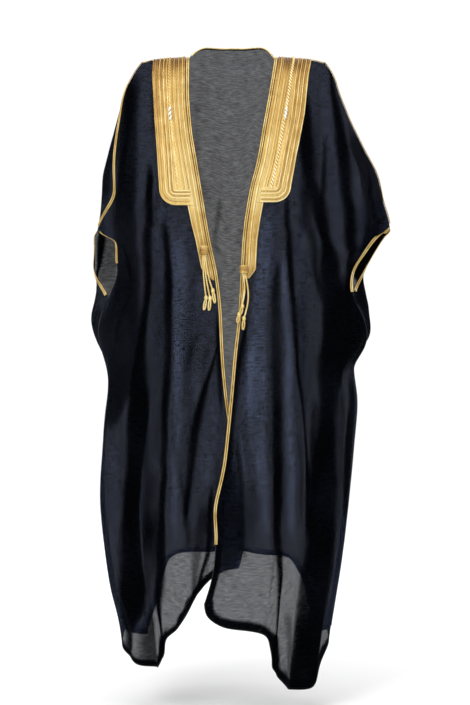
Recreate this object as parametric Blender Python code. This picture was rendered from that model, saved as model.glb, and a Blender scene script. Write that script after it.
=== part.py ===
"""Bisht cloak: a worn, hollow over-cloak of sheer dark cloth trimmed with gold braid.

Metres, +Z up. The front faces -Y, so the wearer's right is at -X. The origin
is the mount worn_on_shoulders: the middle of the neck base, level with the top
of the shoulders.

Every panel is a wall of cloth on one hollow tube, section() below. A place on
the tube is an angle and a height: 0 degrees is the middle of the front, +90
the wearer's left side, -90 the right side and 180 the middle of the back.
Trims are made from the points of the panel that carries them, moved out.
"""
import math

import bmesh
import bpy
import numpy as np
from mathutils import Matrix, Vector
from mathutils.bvhtree import BVHTree

# ---------------------------------------------------------------- sizes
WALL = 0.002            # cloth wall
SEAM_PULL = 0.00025     # each side of a seam stops this far short of it
TRIM_LIFT = 0.0009      # clear height between a panel and a trim that lies on it
FEELER = 0.006          # how far above and below its base a trim feels for cloth
BAND_THICK = 0.0022     # gold chest bands
BORDER_THICK = 0.0034   # their raised corded border
BRAID_HALF = 0.0035     # half width of the edging braid
BRAID_THICK = 0.0020    # at its two rims
BRAID_CROWN = 0.0030    # along its middle
BRAID = (BRAID_THICK, BRAID_CROWN, BRAID_THICK)
BRAID_INSET = 0.0006    # cloth left bare outside an edging braid
NECK_BRAID_WIDTH = 0.0045
SLIT_ENDS = (0.012, 0.0010)   # bare stretches at the head and foot of a wrist braid
SHOULDER_ENDS = (0.0015, 0.0060)   # the same from the gold band, and at the slit
NECK_ENDS = 0.0012      # the same at each end of the neck braid
EDGE_BRAID_START = 0.0008
OVERLAP_LIFT = 0.010    # the left front lies this far out where it covers the right
OVERLAP_Z = (-0.60, -0.77)    # heights between which that lift grows
OVERLAP_ANGLE = (10.0, 38.0)  # angles between which it dies away
EDGE_BRAID_END_Z = -1.11      # the front braids stop here

FRONT_COLUMNS = 20      # facets from the front edge to the side
NECK_COLUMNS = 3        # facets from the side of the neck to its nape
ROWS = 32               # facets from shoulder to hem
ROW_CROWDING = 1.42     # above 1, rows crowd towards the shoulder
HEAD_ROWS = 0.22        # columns have left the shoulder's spacing at this share
HEM_ROWS = 0.70         # and begin to take on the hem's at this one

# ---------------------------------------------------------------- tables
# Half widths of the hollow tube, and how square its section is.
SECTION_COLUMNS = ("z", "half_right", "half_left", "squareness")
SECTIONS = (
    (0.030, 0.185, 0.185, 1.00),
    (0.000, 0.195, 0.195, 1.00),
    (-0.006, 0.203, 0.206, 1.00),
    (-0.012, 0.210, 0.212, 1.00),
    (-0.025, 0.221, 0.222, 1.02),
    (-0.044, 0.233, 0.233, 1.05),
    (-0.080, 0.251, 0.245, 1.10),
    (-0.145, 0.269, 0.271, 1.15),
    (-0.214, 0.288, 0.305, 1.18),
    (-0.276, 0.302, 0.336, 1.20),
    (-0.330, 0.306, 0.348, 1.20),
    (-0.386, 0.312, 0.364, 1.18),
    (-0.434, 0.324, 0.338, 1.15),
    (-0.500, 0.319, 0.303, 1.08),
    (-0.556, 0.322, 0.312, 1.00),
    (-0.612, 0.331, 0.319, 0.95),
    (-0.660, 0.317, 0.313, 0.90),
    (-0.707, 0.296, 0.280, 0.87),
    (-0.754, 0.291, 0.282, 0.85),
    (-0.802, 0.294, 0.287, 0.85),
    (-0.880, 0.301, 0.280, 0.85),
    (-1.005, 0.307, 0.268, 0.82),
    (-1.142, 0.295, 0.253, 0.80),
    (-1.246, 0.277, 0.238, 0.80),
    (-1.324, 0.258, 0.225, 0.80),
    (-1.400, 0.250, 0.216, 0.80),
    (-1.480, 0.246, 0.208, 0.80),
)

# How far the cloth stands out from the line of the shoulders, by the drop below it.
DEPTH_COLUMNS = ("drop", "front", "back")
DEPTHS = (
    (0.000, 0.000, 0.000),
    (0.004, 0.019, 0.018),
    (0.015, 0.037, 0.036),
    (0.035, 0.057, 0.058),
    (0.060, 0.074, 0.078),
    (0.100, 0.092, 0.101),
    (0.160, 0.108, 0.122),
    (0.240, 0.120, 0.136),
    (0.340, 0.126, 0.141),
    (0.500, 0.128, 0.137),
    (0.700, 0.134, 0.140),
    (0.900, 0.146, 0.150),
    (1.100, 0.160, 0.162),
    (1.300, 0.174, 0.174),
    (1.500, 0.184, 0.182),
)

# Top line of the shoulders, and how much higher the cloth would meet at the nape.
RIDGE_COLUMNS = ("x", "ridge_z", "neck_rise")
RIDGE = (
    (0.000, 0.000, 0.072),
    (0.030, 0.000, 0.067),
    (0.058, 0.000, 0.054),
    (0.078, 0.000, 0.036),
    (0.092, 0.000, 0.018),
    (0.100, 0.000, 0.000),
    (0.150, -0.003, 0.000),
    (0.184, -0.006, 0.000),
    (0.212, -0.012, 0.000),
    (0.400, -0.012, 0.000),
)
NECK_RISE_FADE = 0.05   # the rise at the nape dies away over this drop

# Back of the neckline, from the shoulder to the middle of the back.
NECKLINE_COLUMNS = ("x", "z")
NECKLINE = ((0.100, 0.000), (0.096, 0.012), (0.078, 0.023), (0.045, 0.0265), (0.000, 0.027))

# Side lines, down the arm seam to the wrist slit and on down the side to the
# hem. A reach is a share of the half width, so 1 is the very side; less than 1
# has come forward of it. Along the slit the front and the back have their own.
ARM_COLUMNS = ("z", "reach")
ARM_SEAMS = {
    "right": ((-0.012, 1.000), (-0.050, 1.000), (-0.080, 0.995), (-0.145, 0.975),
              (-0.193, 0.958), (-0.239, 0.940), (-0.285, 0.914), (-0.312, 0.912),
              (-0.347, 0.950), (-0.374, 0.982), (-0.396, 0.990)),
    "left": ((-0.012, 1.000), (-0.389, 1.000)),
}
SLIT_COLUMNS = ("z", "front_reach", "back_reach")
WRIST_SLITS = {
    "right": (
        (-0.396, 0.990, 1.010),
        (-0.406, 0.930, 1.004),
        (-0.420, 0.872, 1.000),
        (-0.446, 0.850, 1.000),
        (-0.475, 0.840, 1.000),
        (-0.508, 0.846, 1.004),
        (-0.532, 0.862, 1.040),
        (-0.553, 0.896, 1.104),
    ),
    "left": (
        (-0.389, 1.000, 1.000),
        (-0.398, 0.978, 1.000),
        (-0.412, 0.958, 1.000),
        (-0.432, 0.944, 1.000),
        (-0.462, 0.938, 1.000),
        (-0.494, 0.926, 1.006),
        (-0.522, 0.906, 1.052),
        (-0.543, 0.892, 1.108),
    ),
}
SIDE_SEAMS = {
    "right": ((-0.553, 0.896), (-0.620, 0.940), (-0.680, 0.990), (-0.740, 1.000),
              (-1.324, 1.000)),
    "left": ((-0.543, 0.892), (-0.595, 0.940), (-0.655, 0.990), (-0.710, 1.000),
             (-1.300, 1.000)),
}
SLIT_SHARES = (0.2925, 0.4125)   # the rows at the head and the foot of the slits

# Front edges, from the shoulder to the hem.
EDGE_COLUMNS = ("x", "z")
FRONT_EDGES = {
    "right": (
        (-0.1000, 0.000),
        (-0.0995, -0.078),
        (-0.0930, -0.166),
        (-0.0810, -0.242),
        (-0.0670, -0.327),
        (-0.0510, -0.421),
        (-0.0340, -0.503),
        (-0.0250, -0.585),
        (-0.0210, -0.673),
        (-0.0170, -0.726),
        (-0.0090, -0.800),
        (0.0080, -0.900),
        (0.0230, -1.000),
        (0.0260, -1.100),
        (0.0140, -1.165),
    ),
    "left": (
        (0.0960, 0.000),
        (0.0840, -0.072),
        (0.0680, -0.160),
        (0.0540, -0.240),
        (0.0360, -0.313),
        (0.0210, -0.421),
        (0.0170, -0.503),
        (0.0120, -0.590),
        (0.0030, -0.670),
        (-0.0050, -0.760),
        (-0.0120, -0.834),
        (-0.0250, -0.945),
        (-0.0400, -1.015),
        (-0.0430, -1.050),
        (-0.0385, -1.100),
        (-0.0460, -1.180),
        (-0.0650, -1.246),
    ),
}

# Front hems, from the front edge to the side. Both drop low near the sides,
# where the cloth hangs past the arms.
FRONT_HEMS = {
    "right": (
        (0.014, -1.165),
        (-0.020, -1.172),
        (-0.050, -1.190),
        (-0.080, -1.225),
        (-0.105, -1.275),
        (-0.130, -1.308),
        (-0.152, -1.326),
        (-0.159, -1.350),
        (-0.163, -1.384),
        (-0.180, -1.400),
        (-0.203, -1.400),
        (-0.228, -1.388),
        (-0.248, -1.362),
        (-0.258, -1.324),
    ),
    "left": (
        (-0.065, -1.246),
        (-0.060, -1.272),
        (-0.035, -1.292),
        (0.002, -1.303),
        (0.046, -1.306),
        (0.071, -1.317),
        (0.087, -1.340),
        (0.092, -1.370),
        (0.094, -1.400),
        (0.108, -1.426),
        (0.150, -1.452),
        (0.172, -1.452),
        (0.186, -1.432),
        (0.205, -1.378),
        (0.222, -1.340),
        (0.228, -1.300),
    ),
}

# Back hem, from each side to the middle of the back.
BACK_HEMS = {
    "left": ((0.230, -1.300), (0.210, -1.350), (0.190, -1.360), (0.177, -1.314),
             (0.168, -1.236), (0.150, -1.192), (0.085, -1.181), (0.000, -1.170)),
    "right": ((-0.258, -1.324), (-0.232, -1.358), (-0.202, -1.362), (-0.186, -1.314),
              (-0.176, -1.232), (-0.158, -1.186), (-0.090, -1.174), (0.000, -1.170)),
}

# Folds. Each runs from (top_angle, top_z), where it begins, to (low_angle,
# low_z), where it has its full height, and goes on to the hem unless it fades.
FOLD_COLUMNS = ("top_angle", "top_z", "low_angle", "low_z", "half_width", "height", "fades")
FOLDS = (
    # wearer's right front
    (-60, -0.04, -50, -0.34, 7.0, 0.007, True),
    (-73, -0.10, -62, -0.44, 6.0, -0.012, True),
    (-36, -0.34, -50, -1.02, 6.5, -0.020, False),
    (-31, -0.38, -41, -1.10, 4.5, 0.012, False),
    (-26, -0.37, -33, -0.98, 3.5, -0.012, False),
    (-34, -1.00, -39, -1.28, 2.6, -0.014, False),
    (-25, -0.55, -22, -1.10, 6.0, 0.013, False),
    (-3, -0.66, -25, -0.98, 4.5, -0.017, True),
    (-11, -0.90, -12, -1.15, 4.5, -0.013, False),
    (-77, -0.58, -76, -1.12, 8.0, 0.010, False),
    (-63, -0.62, -62, -1.10, 5.0, 0.010, False),
    # wearer's left front
    (62, -0.05, 50, -0.44, 6.0, 0.012, True),
    (74, -0.12, 66, -0.40, 5.0, -0.010, True),
    (42, -0.22, 45, -1.00, 7.0, -0.021, False),
    (27, -0.36, 31, -1.05, 5.0, 0.014, False),
    (16, -0.42, 24, -1.10, 3.8, -0.020, False),
    (12, -0.80, 14, -1.15, 5.0, 0.011, False),
    (3, -0.84, 0, -1.16, 4.5, -0.010, False),
    (58, -0.56, 60, -1.00, 5.0, 0.009, False),
    (75, -0.60, 75, -1.10, 7.0, 0.009, False),
    # wearer's left side and back
    (90, -0.66, 90, -1.10, 6.0, -0.006, False),
    (101, -0.30, 102, -1.00, 6.0, 0.015, False),
    (115, -0.16, 116, -0.95, 6.0, -0.021, False),
    (130, -0.36, 129, -1.05, 5.0, 0.013, False),
    (143, -0.26, 141, -1.00, 5.0, -0.017, False),
    (155, -0.44, 153, -1.10, 5.0, 0.014, False),
    (167, -0.34, 166, -1.10, 5.0, -0.014, False),
    # middle of the back, wearer's right back and right side
    (179, -0.20, 178, -0.98, 5.0, 0.013, False),
    (-168, -0.42, -169, -1.12, 5.0, -0.016, False),
    (-157, -0.34, -157, -1.02, 5.0, 0.012, False),
    (-145, -0.22, -144, -0.98, 5.5, -0.019, False),
    (-131, -0.38, -131, -1.06, 5.0, 0.015, False),
    (-118, -0.18, -118, -0.96, 5.5, -0.020, False),
    (-104, -0.30, -104, -1.02, 6.0, 0.015, False),
    (-91, -0.68, -91, -1.12, 6.0, -0.007, False),
)
FADE_LENGTH = 0.16      # a fading fold is gone this far below its full height
CALM_STEPS = np.linspace(-0.09, 0.09, 9)   # heights over which a side line is smoothed
NECK_CALM = 0.03        # no fold within this drop of the shoulder line

# Outer edges of the gold bands. The inner edge follows the front braid. The
# broad bands end in a rounded corner at foot_z.
BAND_GAP = 0.0097       # from the front edge to a band
CORNER_RADIUS = 0.038
CORNER_FACETS = 4
BROAD_FEET = {"right": -0.3425, "left": -0.3360}
BROAD_BANDS = {
    "right": ((-0.1840, 0.000), (-0.1855, -0.040), (-0.1780, -0.149), (-0.1720, -0.230),
              (-0.1650, -0.3425)),
    "left": ((0.1815, 0.000), (0.1740, -0.040), (0.1620, -0.137), (0.1450, -0.228),
             (0.1250, -0.3360)),
}
NARROW_BANDS = {
    "right": ((-0.1030, -0.3440), (-0.0940, -0.386), (-0.0850, -0.421), (-0.0720, -0.485),
              (-0.0460, -0.5125)),
    "left": ((0.0690, -0.3375), (0.0605, -0.386), (0.0555, -0.421), (0.0520, -0.488),
             (0.0370, -0.508)),
}
BAND_COLUMNS = 7
NARROW_COLUMNS = 3
BAND_SPACING = 0.0215   # greatest height of one facet of a band
BAND_SETTLE = 0.06      # the rows of a band stop following the shoulder line at this drop
BAND_TOP_DROPS = (0.0, 0.0010, 0.0036, 0.0080, 0.0145, 0.0235)

# Tassels: the bead, and each cord's knot and loop, as (x, z) in front view.
BEAD_RADII = (0.0075, 0.0075, 0.0110)
BEAD_SIDES = 8
BEAD_RINGS = 8
ROOT_DROP = 0.3         # cords leave the inside of the bead here, in bead heights
CHIN_DROP = 1.1         # and are clear of it here
CHIN_SPREAD = 1.4       # where they stand this much further apart than at their roots
BEAD_CLEAR = 0.0006     # between a bead and the band behind it
CORD_RADIUS = 0.0019
CORD_SIDES = 4
CORD_CLEAR = 0.0075     # middle of a hanging cord above the cloth
CORD_SPREAD = 0.0037      # between the roots of neighbouring cords, in the bead
KNOT_RADIUS = 0.0036
KNOT_SIDES = 6
KNOT_RINGS = 5
LOOP_HALF_WIDTH = 0.0042
LOOP_FACETS = 10
LOOP_START = 0.7        # a loop begins this far through its knot, in knot radii
TASSEL_COLUMNS = ("bend_x", "bend_z", "knot_x", "knot_z", "foot_x", "foot_z")
TASSELS = {
    "right": {"bead": (-0.0655, -0.444), "cords": (
        (-0.0695, -0.500, -0.0665, -0.552, -0.0670, -0.584),
        (-0.0625, -0.500, -0.0550, -0.556, -0.0545, -0.585),
        (-0.0560, -0.496, -0.0435, -0.540, -0.0405, -0.567),
    )},
    "left": {"bead": (0.0262, -0.486), "cords": (
        (0.0285, -0.545, 0.0105, -0.593, 0.0000, -0.612),
        (0.0325, -0.540, 0.0215, -0.579, 0.0140, -0.604),
        (0.0365, -0.545, 0.0270, -0.600, 0.0225, -0.628),
    )},
}

FORWARD = Vector((0, -1, 0))

# Node, colour (linear), roughness, metallic.
CLOTH = ((0.012, 0.013, 0.018, 1.0), 0.85, 0.0)
GOLD_BAND = ((0.62, 0.40, 0.13, 1.0), 0.42, 0.35)
GOLD_BRAID = ((0.55, 0.34, 0.10, 1.0), 0.40, 0.40)
GOLD_CORD = ((0.60, 0.40, 0.14, 1.0), 0.45, 0.30)


# ---------------------------------------------------------------- curves
def smooth_curve(places, values):
    """Return a smooth curve through the points that never overshoots them."""
    places = np.asarray(places, float)
    values = np.asarray(values, float)
    if places[0] > places[-1]:
        places = places[::-1]
        values = values[::-1]
    gaps = np.diff(places)
    slopes = np.diff(values) / gaps
    tangents = np.zeros_like(values)
    tangents[0] = slopes[0]
    tangents[-1] = slopes[-1]
    before = 2 * gaps[1:] + gaps[:-1]
    after = gaps[1:] + 2 * gaps[:-1]
    same_way = slopes[:-1] * slopes[1:] > 0
    safe_low = np.where(same_way, slopes[:-1], 1.0)
    safe_high = np.where(same_way, slopes[1:], 1.0)
    mean = (before + after) / (before / safe_low + after / safe_high)
    tangents[1:-1] = np.where(same_way, mean, 0.0)

    def at(query):
        query = np.clip(np.asarray(query, float), places[0], places[-1])
        left = np.clip(np.searchsorted(places, query) - 1, 0, len(gaps) - 1)
        step = gaps[left]
        share = (query - places[left]) / step
        low = (1 + 2 * share) * (1 - share) ** 2 * values[left]
        high = share ** 2 * (3 - 2 * share) * values[left + 1]
        lean_low = share * (1 - share) ** 2 * step * tangents[left]
        lean_high = share ** 2 * (share - 1) * step * tangents[left + 1]
        return low + high + lean_low + lean_high

    return at


def column(rows, names, name):
    """Return one named column of a table."""
    return np.array([row[names.index(name)] for row in rows], float)


def smoothstep(low, high, value):
    """Ease from 0 at low to 1 at high."""
    share = np.clip((value - low) / (high - low), 0.0, 1.0)
    return share * share * (3 - 2 * share)


def line_through(points, shares):
    """Points at the given shares of the length of a smooth line."""
    points = np.asarray(points, float)
    steps = np.linalg.norm(np.diff(points, axis=0), axis=1)
    along = np.concatenate([[0.0], np.cumsum(steps)])
    along /= along[-1]
    return np.stack([smooth_curve(along, values)(shares) for values in points.T], axis=-1)


# ---------------------------------------------------------------- the hollow tube
half_right = smooth_curve(column(SECTIONS, SECTION_COLUMNS, "z"),
                          column(SECTIONS, SECTION_COLUMNS, "half_right"))
half_left = smooth_curve(column(SECTIONS, SECTION_COLUMNS, "z"),
                         column(SECTIONS, SECTION_COLUMNS, "half_left"))
squareness = smooth_curve(column(SECTIONS, SECTION_COLUMNS, "z"),
                          column(SECTIONS, SECTION_COLUMNS, "squareness"))
root_drop = np.sqrt(column(DEPTHS, DEPTH_COLUMNS, "drop"))
depth_front = smooth_curve(root_drop, column(DEPTHS, DEPTH_COLUMNS, "front"))
depth_back = smooth_curve(root_drop, column(DEPTHS, DEPTH_COLUMNS, "back"))
ridge_z = smooth_curve(column(RIDGE, RIDGE_COLUMNS, "x"),
                       column(RIDGE, RIDGE_COLUMNS, "ridge_z"))
neck_rise = smooth_curve(column(RIDGE, RIDGE_COLUMNS, "x"),
                         column(RIDGE, RIDGE_COLUMNS, "neck_rise"))


def half_width(z, on_left):
    """Half width of the tube at a height, on the wearer's left or right."""
    return np.where(on_left, half_left(z), half_right(z))


def reach_to_angle(reach, is_back, on_left):
    """Turn a reach, measured from the front or the back, into a signed angle."""
    reach = np.abs(reach)
    folded = np.where(reach > 1.0, 2.0 - reach, reach)
    turn = np.degrees(np.arcsin(np.clip(folded, 0.0, 1.0)))
    turn = np.where(reach > 1.0, 180.0 - turn, turn)
    size = 180.0 - turn if is_back else turn
    return np.where(on_left, size, -size)


def fold_height(angle, z, drop):
    """Height of all the folds at a place on the tube."""
    total = np.zeros_like(angle)
    for top_angle, top_z, low_angle, low_z, half, height, fades in FOLDS:
        share = np.clip((top_z - z) / (top_z - low_z), 0.0, 1.0)
        middle = top_angle + (low_angle - top_angle) * share
        away = (angle - middle + 180.0) % 360.0 - 180.0
        strength = smoothstep(0.0, 1.0, share)
        if fades:
            strength = strength * (1 - smoothstep(0.0, FADE_LENGTH, low_z - z))
        total += height * strength * np.exp(-(away / half) ** 2)
    return total * smoothstep(0.0, NECK_CALM, drop)


def section(angle, z, lift=0.0):
    """Points of the draped cloth at angles (degrees) and heights, moved out by lift."""
    angle = np.asarray(angle, float)
    z = np.asarray(z, float)
    turn = np.radians(np.abs(angle))
    half = half_width(z, angle > 0)
    x = np.sign(angle) * half * np.sin(turn)
    front = np.abs(angle) <= 90.0
    drop = ridge_z(np.abs(x)) - z
    rise = neck_rise(np.abs(x)) * np.exp(-np.maximum(-z, 0.0) / NECK_RISE_FADE)
    drop = np.maximum(np.where(front, drop, drop + rise), 0.0)
    depth = np.where(front, depth_front(np.sqrt(drop)), depth_back(np.sqrt(drop)))
    flat = np.abs(np.cos(turn))
    y = np.where(front, -1.0, 1.0) * depth * flat ** squareness(z)
    out_x = np.sign(angle) * np.sin(turn) * depth
    out_y = -np.cos(turn) * half
    size = np.maximum(np.hypot(out_x, out_y), 1e-9)
    out = fold_height(angle, z, drop) + lift
    return np.stack([x + out_x / size * out, y + out_y / size * out, z], axis=-1)


def overlap_lift(angle, z):
    """How far the left front stands out to pass over the right front."""
    by_height = smoothstep(-OVERLAP_Z[0], -OVERLAP_Z[1], -z)
    by_angle = 1 - smoothstep(OVERLAP_ANGLE[0], OVERLAP_ANGLE[1], angle)
    return OVERLAP_LIFT * by_height * by_angle


def side_lift(side, angle, z):
    """Extra lift of one front panel: only the left front has any."""
    return overlap_lift(angle, z) if side == "left" else np.zeros_like(z)


# ---------------------------------------------------------------- panels
def row_shares():
    """Shares of the length of a panel at which its rows lie."""
    shares = (np.arange(ROWS + 1) / ROWS) ** ROW_CROWDING
    for share in SLIT_SHARES:
        shares[np.argmin(np.abs(shares - share))] = share
    return shares


def side_reaches(side):
    """Reaches of the front's and of the back's side line, as curves of height."""
    slit = WRIST_SLITS[side]
    slit_z = column(slit, SLIT_COLUMNS, "z")
    closed = ARM_SEAMS[side] + SIDE_SEAMS[side]
    z = np.concatenate([column(closed, ARM_COLUMNS, "z"), slit_z[1:-1]])
    reach = np.concatenate([column(closed, ARM_COLUMNS, "reach"),
                            column(slit, SLIT_COLUMNS, "front_reach")[1:-1]])
    order = np.argsort(z)
    front = smooth_curve(z[order], reach[order])
    behind = smooth_curve(slit_z, column(slit, SLIT_COLUMNS, "back_reach"))

    def back(height):
        is_open = (height < slit_z[0]) & (height > slit_z[-1])
        return np.where(is_open, behind(height), 2.0 - front(height))

    return front, back


def side_angles(reach, is_back, z):
    """Angles of a side line at heights: as it is, and smoothed over its bends."""
    exact = reach_to_angle(reach(z), is_back, True)
    calm = sum(reach_to_angle(reach(z + step), is_back, True) for step in CALM_STEPS)
    return exact, calm / len(CALM_STEPS)


def spread_angles(start, exact, calm, shares):
    """Angles across a panel: even to the calm side line, then eased to the exact one."""
    return start + (calm - start) * shares + (exact - calm) * shares ** 3


def edge_angle(side, z):
    """Angle of a front edge at a height; below 0 it has crossed the middle."""
    edge = np.asarray(FRONT_EDGES[side], float)
    sign = 1.0 if side == "left" else -1.0
    x = smooth_curve(edge[:, 1], edge[:, 0])(z) * sign
    own_side = side == "left"
    half = np.where(x >= 0, half_width(z, own_side), half_width(z, not own_side))
    return np.degrees(np.arcsin(x / half))


def hem_angles(side, rows, shares, is_back):
    """Angles and heights along a hem, at shares of its length."""
    line = line_through(rows, shares)
    x = line[:, 0] * (1.0 if side == "left" else -1.0)
    own_side = side == "left"
    half = np.where(x >= 0, half_width(line[:, 1], own_side),
                    half_width(line[:, 1], not own_side))
    angle = np.degrees(np.arcsin(np.clip(x / half, -1.0, 1.0)))
    return (180.0 - angle if is_back else angle), line[:, 1]


def shoulder_top(side):
    """The neck's angle, then the angles and heights of the top of the shoulder."""
    on_left = side == "left"
    neck = float(edge_angle(side, 0.0))
    tip_x = float(half_width(ARM_SEAMS[side][0][0], on_left))
    neck_x = abs(FRONT_EDGES[side][0][0])
    x = np.linspace(neck_x, tip_x, FRONT_COLUMNS + 1)
    z = ridge_z(x)
    angle = np.degrees(np.arcsin(np.clip(x / half_width(z, on_left), 0.0, 1.0)))
    return neck, angle, z


def shares_down(top, foot, rows):
    """Column shares for each row: the top's, then even, then the hem's."""
    even = np.arange(len(top)) / (len(top) - 1)
    leave = smoothstep(0.0, HEAD_ROWS, rows)[None]
    arrive = smoothstep(HEM_ROWS, 1.0, rows)[None]
    shares = top[:, None] * (1 - leave) + even[:, None] * leave
    return shares * (1 - arrive) + foot[:, None] * arrive


def front_grid(side):
    """Points of a front panel, from its edge to its side and from shoulder to hem."""
    on_left = side == "left"
    sign = 1.0 if on_left else -1.0
    rows = row_shares()
    even = np.arange(FRONT_COLUMNS + 1) / FRONT_COLUMNS
    neck, seam_angle, top_z = shoulder_top(side)
    top = (seam_angle - neck) / (90.0 - neck)
    hem_angle, hem_z = hem_angles(side, FRONT_HEMS[side], even, False)
    reach = side_reaches(side)[0]
    start = edge_angle(side, hem_z)
    end = reach_to_angle(reach(hem_z), False, True)
    foot = (hem_angle - start) / (end - start)
    foot[[0, -1]] = (0.0, 1.0)
    z = top_z[:, None] * (1 - rows) + hem_z[:, None] * rows
    exact, calm = side_angles(reach, False, z)
    angle = spread_angles(edge_angle(side, z), exact, calm, shares_down(top, foot, rows)) * sign
    return section(angle, z, side_lift(side, angle, z))


def back_half(side):
    """Points of half the back, from the side to the middle."""
    on_left = side == "left"
    rows = row_shares()
    seam_angle, seam_z = shoulder_top(side)[1:]
    shares = np.arange(1, NECK_COLUMNS + 1) / NECK_COLUMNS
    neckline = line_through(NECKLINE, shares)
    neck_angle = np.degrees(np.arcsin(neckline[:, 0] / half_width(neckline[:, 1], on_left)))
    top_angle = 180.0 - np.concatenate([seam_angle[::-1], neck_angle])
    top_z = np.concatenate([seam_z[::-1], neckline[:, 1]])
    count = FRONT_COLUMNS + NECK_COLUMNS
    hem_angle, hem_z = hem_angles(side, BACK_HEMS[side], np.arange(count + 1) / count, True)
    reach = side_reaches(side)[1]
    start = reach_to_angle(reach(hem_z), True, True)
    foot = (hem_angle - start) / (180.0 - start)
    foot[[0, -1]] = (0.0, 1.0)
    z = top_z[:, None] * (1 - rows) + hem_z[:, None] * rows
    exact, calm = side_angles(reach, True, z)
    shares = shares_down((top_angle - 90.0) / 90.0, foot, rows)
    angle = 180.0 - spread_angles(0.0, 180.0 - exact, 180.0 - calm, 1.0 - shares)
    return section(angle * (1.0 if on_left else -1.0), z)


def back_grid():
    """Points of the back, from the left side across to the right side."""
    left = back_half("left")
    right = back_half("right")
    return np.concatenate([left, right[-2::-1]])


def grid_normals(points, outward):
    """Unit normals of a grid of points, turned to the outward side."""
    by_column = np.gradient(points, axis=0)
    by_row = np.gradient(points, axis=1)
    normals = np.cross(by_column, by_row)
    normals /= np.maximum(np.linalg.norm(normals, axis=-1, keepdims=True), 1e-12)
    middle = normals.shape[0] // 2, normals.shape[1] // 2
    if np.dot(normals[middle], outward) < 0:
        normals = -normals
    return normals


def pull_back(points, row, inner_row, along_rows):
    """Move one border of a grid a little way in, to leave a seam gap."""
    if along_rows:
        way = points[:, inner_row] - points[:, row]
        way /= np.linalg.norm(way, axis=-1, keepdims=True)
        points[:, row] += way * SEAM_PULL
    else:
        way = points[inner_row] - points[row]
        way /= np.linalg.norm(way, axis=-1, keepdims=True)
        points[row] += way * SEAM_PULL


def share_normals(front, back):
    """Give the two sides of a seam the same normals."""
    mean = front + back
    mean /= np.linalg.norm(mean, axis=-1, keepdims=True)
    return mean


# ---------------------------------------------------------------- solids
def material(name, look):
    """A plain Principled material."""
    colour, roughness, metallic = look
    made = bpy.data.materials.new(name)
    made.use_nodes = True
    shader = made.node_tree.nodes["Principled BSDF"]
    shader.inputs["Base Color"].default_value = colour
    shader.inputs["Roughness"].default_value = roughness
    shader.inputs["Metallic"].default_value = metallic
    made.diffuse_color = colour
    return made


def add_object(name, mesh_builder, look):
    """Turn a bmesh into a named object, smooth, closed and facing out."""
    bmesh.ops.recalc_face_normals(mesh_builder, faces=mesh_builder.faces)
    if mesh_builder.calc_volume(signed=True) < 0:
        bmesh.ops.reverse_faces(mesh_builder, faces=mesh_builder.faces)
    for face in mesh_builder.faces:
        face.smooth = True
    mesh = bpy.data.meshes.new(name)
    mesh_builder.to_mesh(mesh)
    mesh_builder.free()
    made = bpy.data.objects.new(name, mesh)
    made.data.materials.append(material(name + "_finish", look))
    bpy.context.scene.collection.objects.link(made)
    return made


def slab(name, outer, inner, look):
    """A closed wall between two grids of points."""
    columns, rows = outer.shape[:2]
    builder = bmesh.new()
    sheets = []
    for grid in (outer, inner):
        sheet = [[builder.verts.new(Vector(point)) for point in line] for line in grid]
        sheets.append(sheet)
    top, under = sheets
    for i in range(columns - 1):
        for j in range(rows - 1):
            builder.faces.new((top[i][j], top[i + 1][j], top[i + 1][j + 1], top[i][j + 1]))
            builder.faces.new((under[i][j], under[i][j + 1], under[i + 1][j + 1],
                               under[i + 1][j]))
    border = [(i, 0) for i in range(columns)]
    border += [(columns - 1, j) for j in range(1, rows)]
    border += [(i, rows - 1) for i in range(columns - 2, -1, -1)]
    border += [(0, j) for j in range(rows - 2, 0, -1)]
    for k, (i, j) in enumerate(border):
        p, q = border[(k + 1) % len(border)]
        builder.faces.new((top[i][j], under[i][j], under[p][q], top[p][q]))
    return add_object(name, builder, look)


def cloth_tree(panels):
    """The outer facets of the panels, for trims to rest on."""
    points = []
    facets = []
    for grid in panels:
        columns, rows = grid.shape[:2]
        first = len(points)
        points += [tuple(point) for line in grid for point in line]
        for i in range(columns - 1):
            for j in range(rows - 1):
                a = first + i * rows + j
                facets.append((a, a + rows, a + rows + 1))
                facets.append((a, a + rows + 1, a + 1))
    return BVHTree.FromPolygons(points, facets)


def halfway(grid, axes=(0, 1)):
    """A grid with one more point between each two neighbours."""
    for axis in axes:
        grid = np.moveaxis(grid, axis, 0)
        fine = np.empty((2 * len(grid) - 1, *grid.shape[1:]))
        fine[::2] = grid
        fine[1::2] = (grid[:-1] + grid[1:]) / 2
        grid = np.moveaxis(fine, 0, axis)
    return grid


def rest_on(tree, base, normals):
    """Raise a trim's points until none of its facets dips into the cloth.

    Four feelers to a facet each way tell how far the cloth stands above the
    facet. Each point then rises by the most that is felt within three feelers.
    """
    columns, rows = base.shape[:2]
    points = halfway(halfway(base))
    ways = halfway(halfway(normals))
    felt = np.pad(np.zeros(points.shape[:2]), 3)
    for i, j in np.ndindex(points.shape[:2]):
        way = Vector(ways[i, j]).normalized()
        distance = tree.ray_cast(Vector(points[i, j]) + way * FEELER, -way, 2 * FEELER)[3]
        if distance is not None:
            felt[i + 3, j + 3] = FEELER - distance
    rise = np.zeros((columns, rows))
    for i, j in np.ndindex(columns, rows):
        rise[i, j] = max(0.0, felt[4 * i:4 * i + 7, 4 * j:4 * j + 7].max())
    return base + normals * rise[..., None]


def strip(name, base, normals, tree, heights, look):
    """A trim: a slab that rests on the cloth, with its own height at each point."""
    base = rest_on(tree, base, normals)
    inner = base + normals * TRIM_LIFT
    outer = base + normals * (TRIM_LIFT + heights[..., None])
    return slab(name, outer, inner, look)


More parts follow.
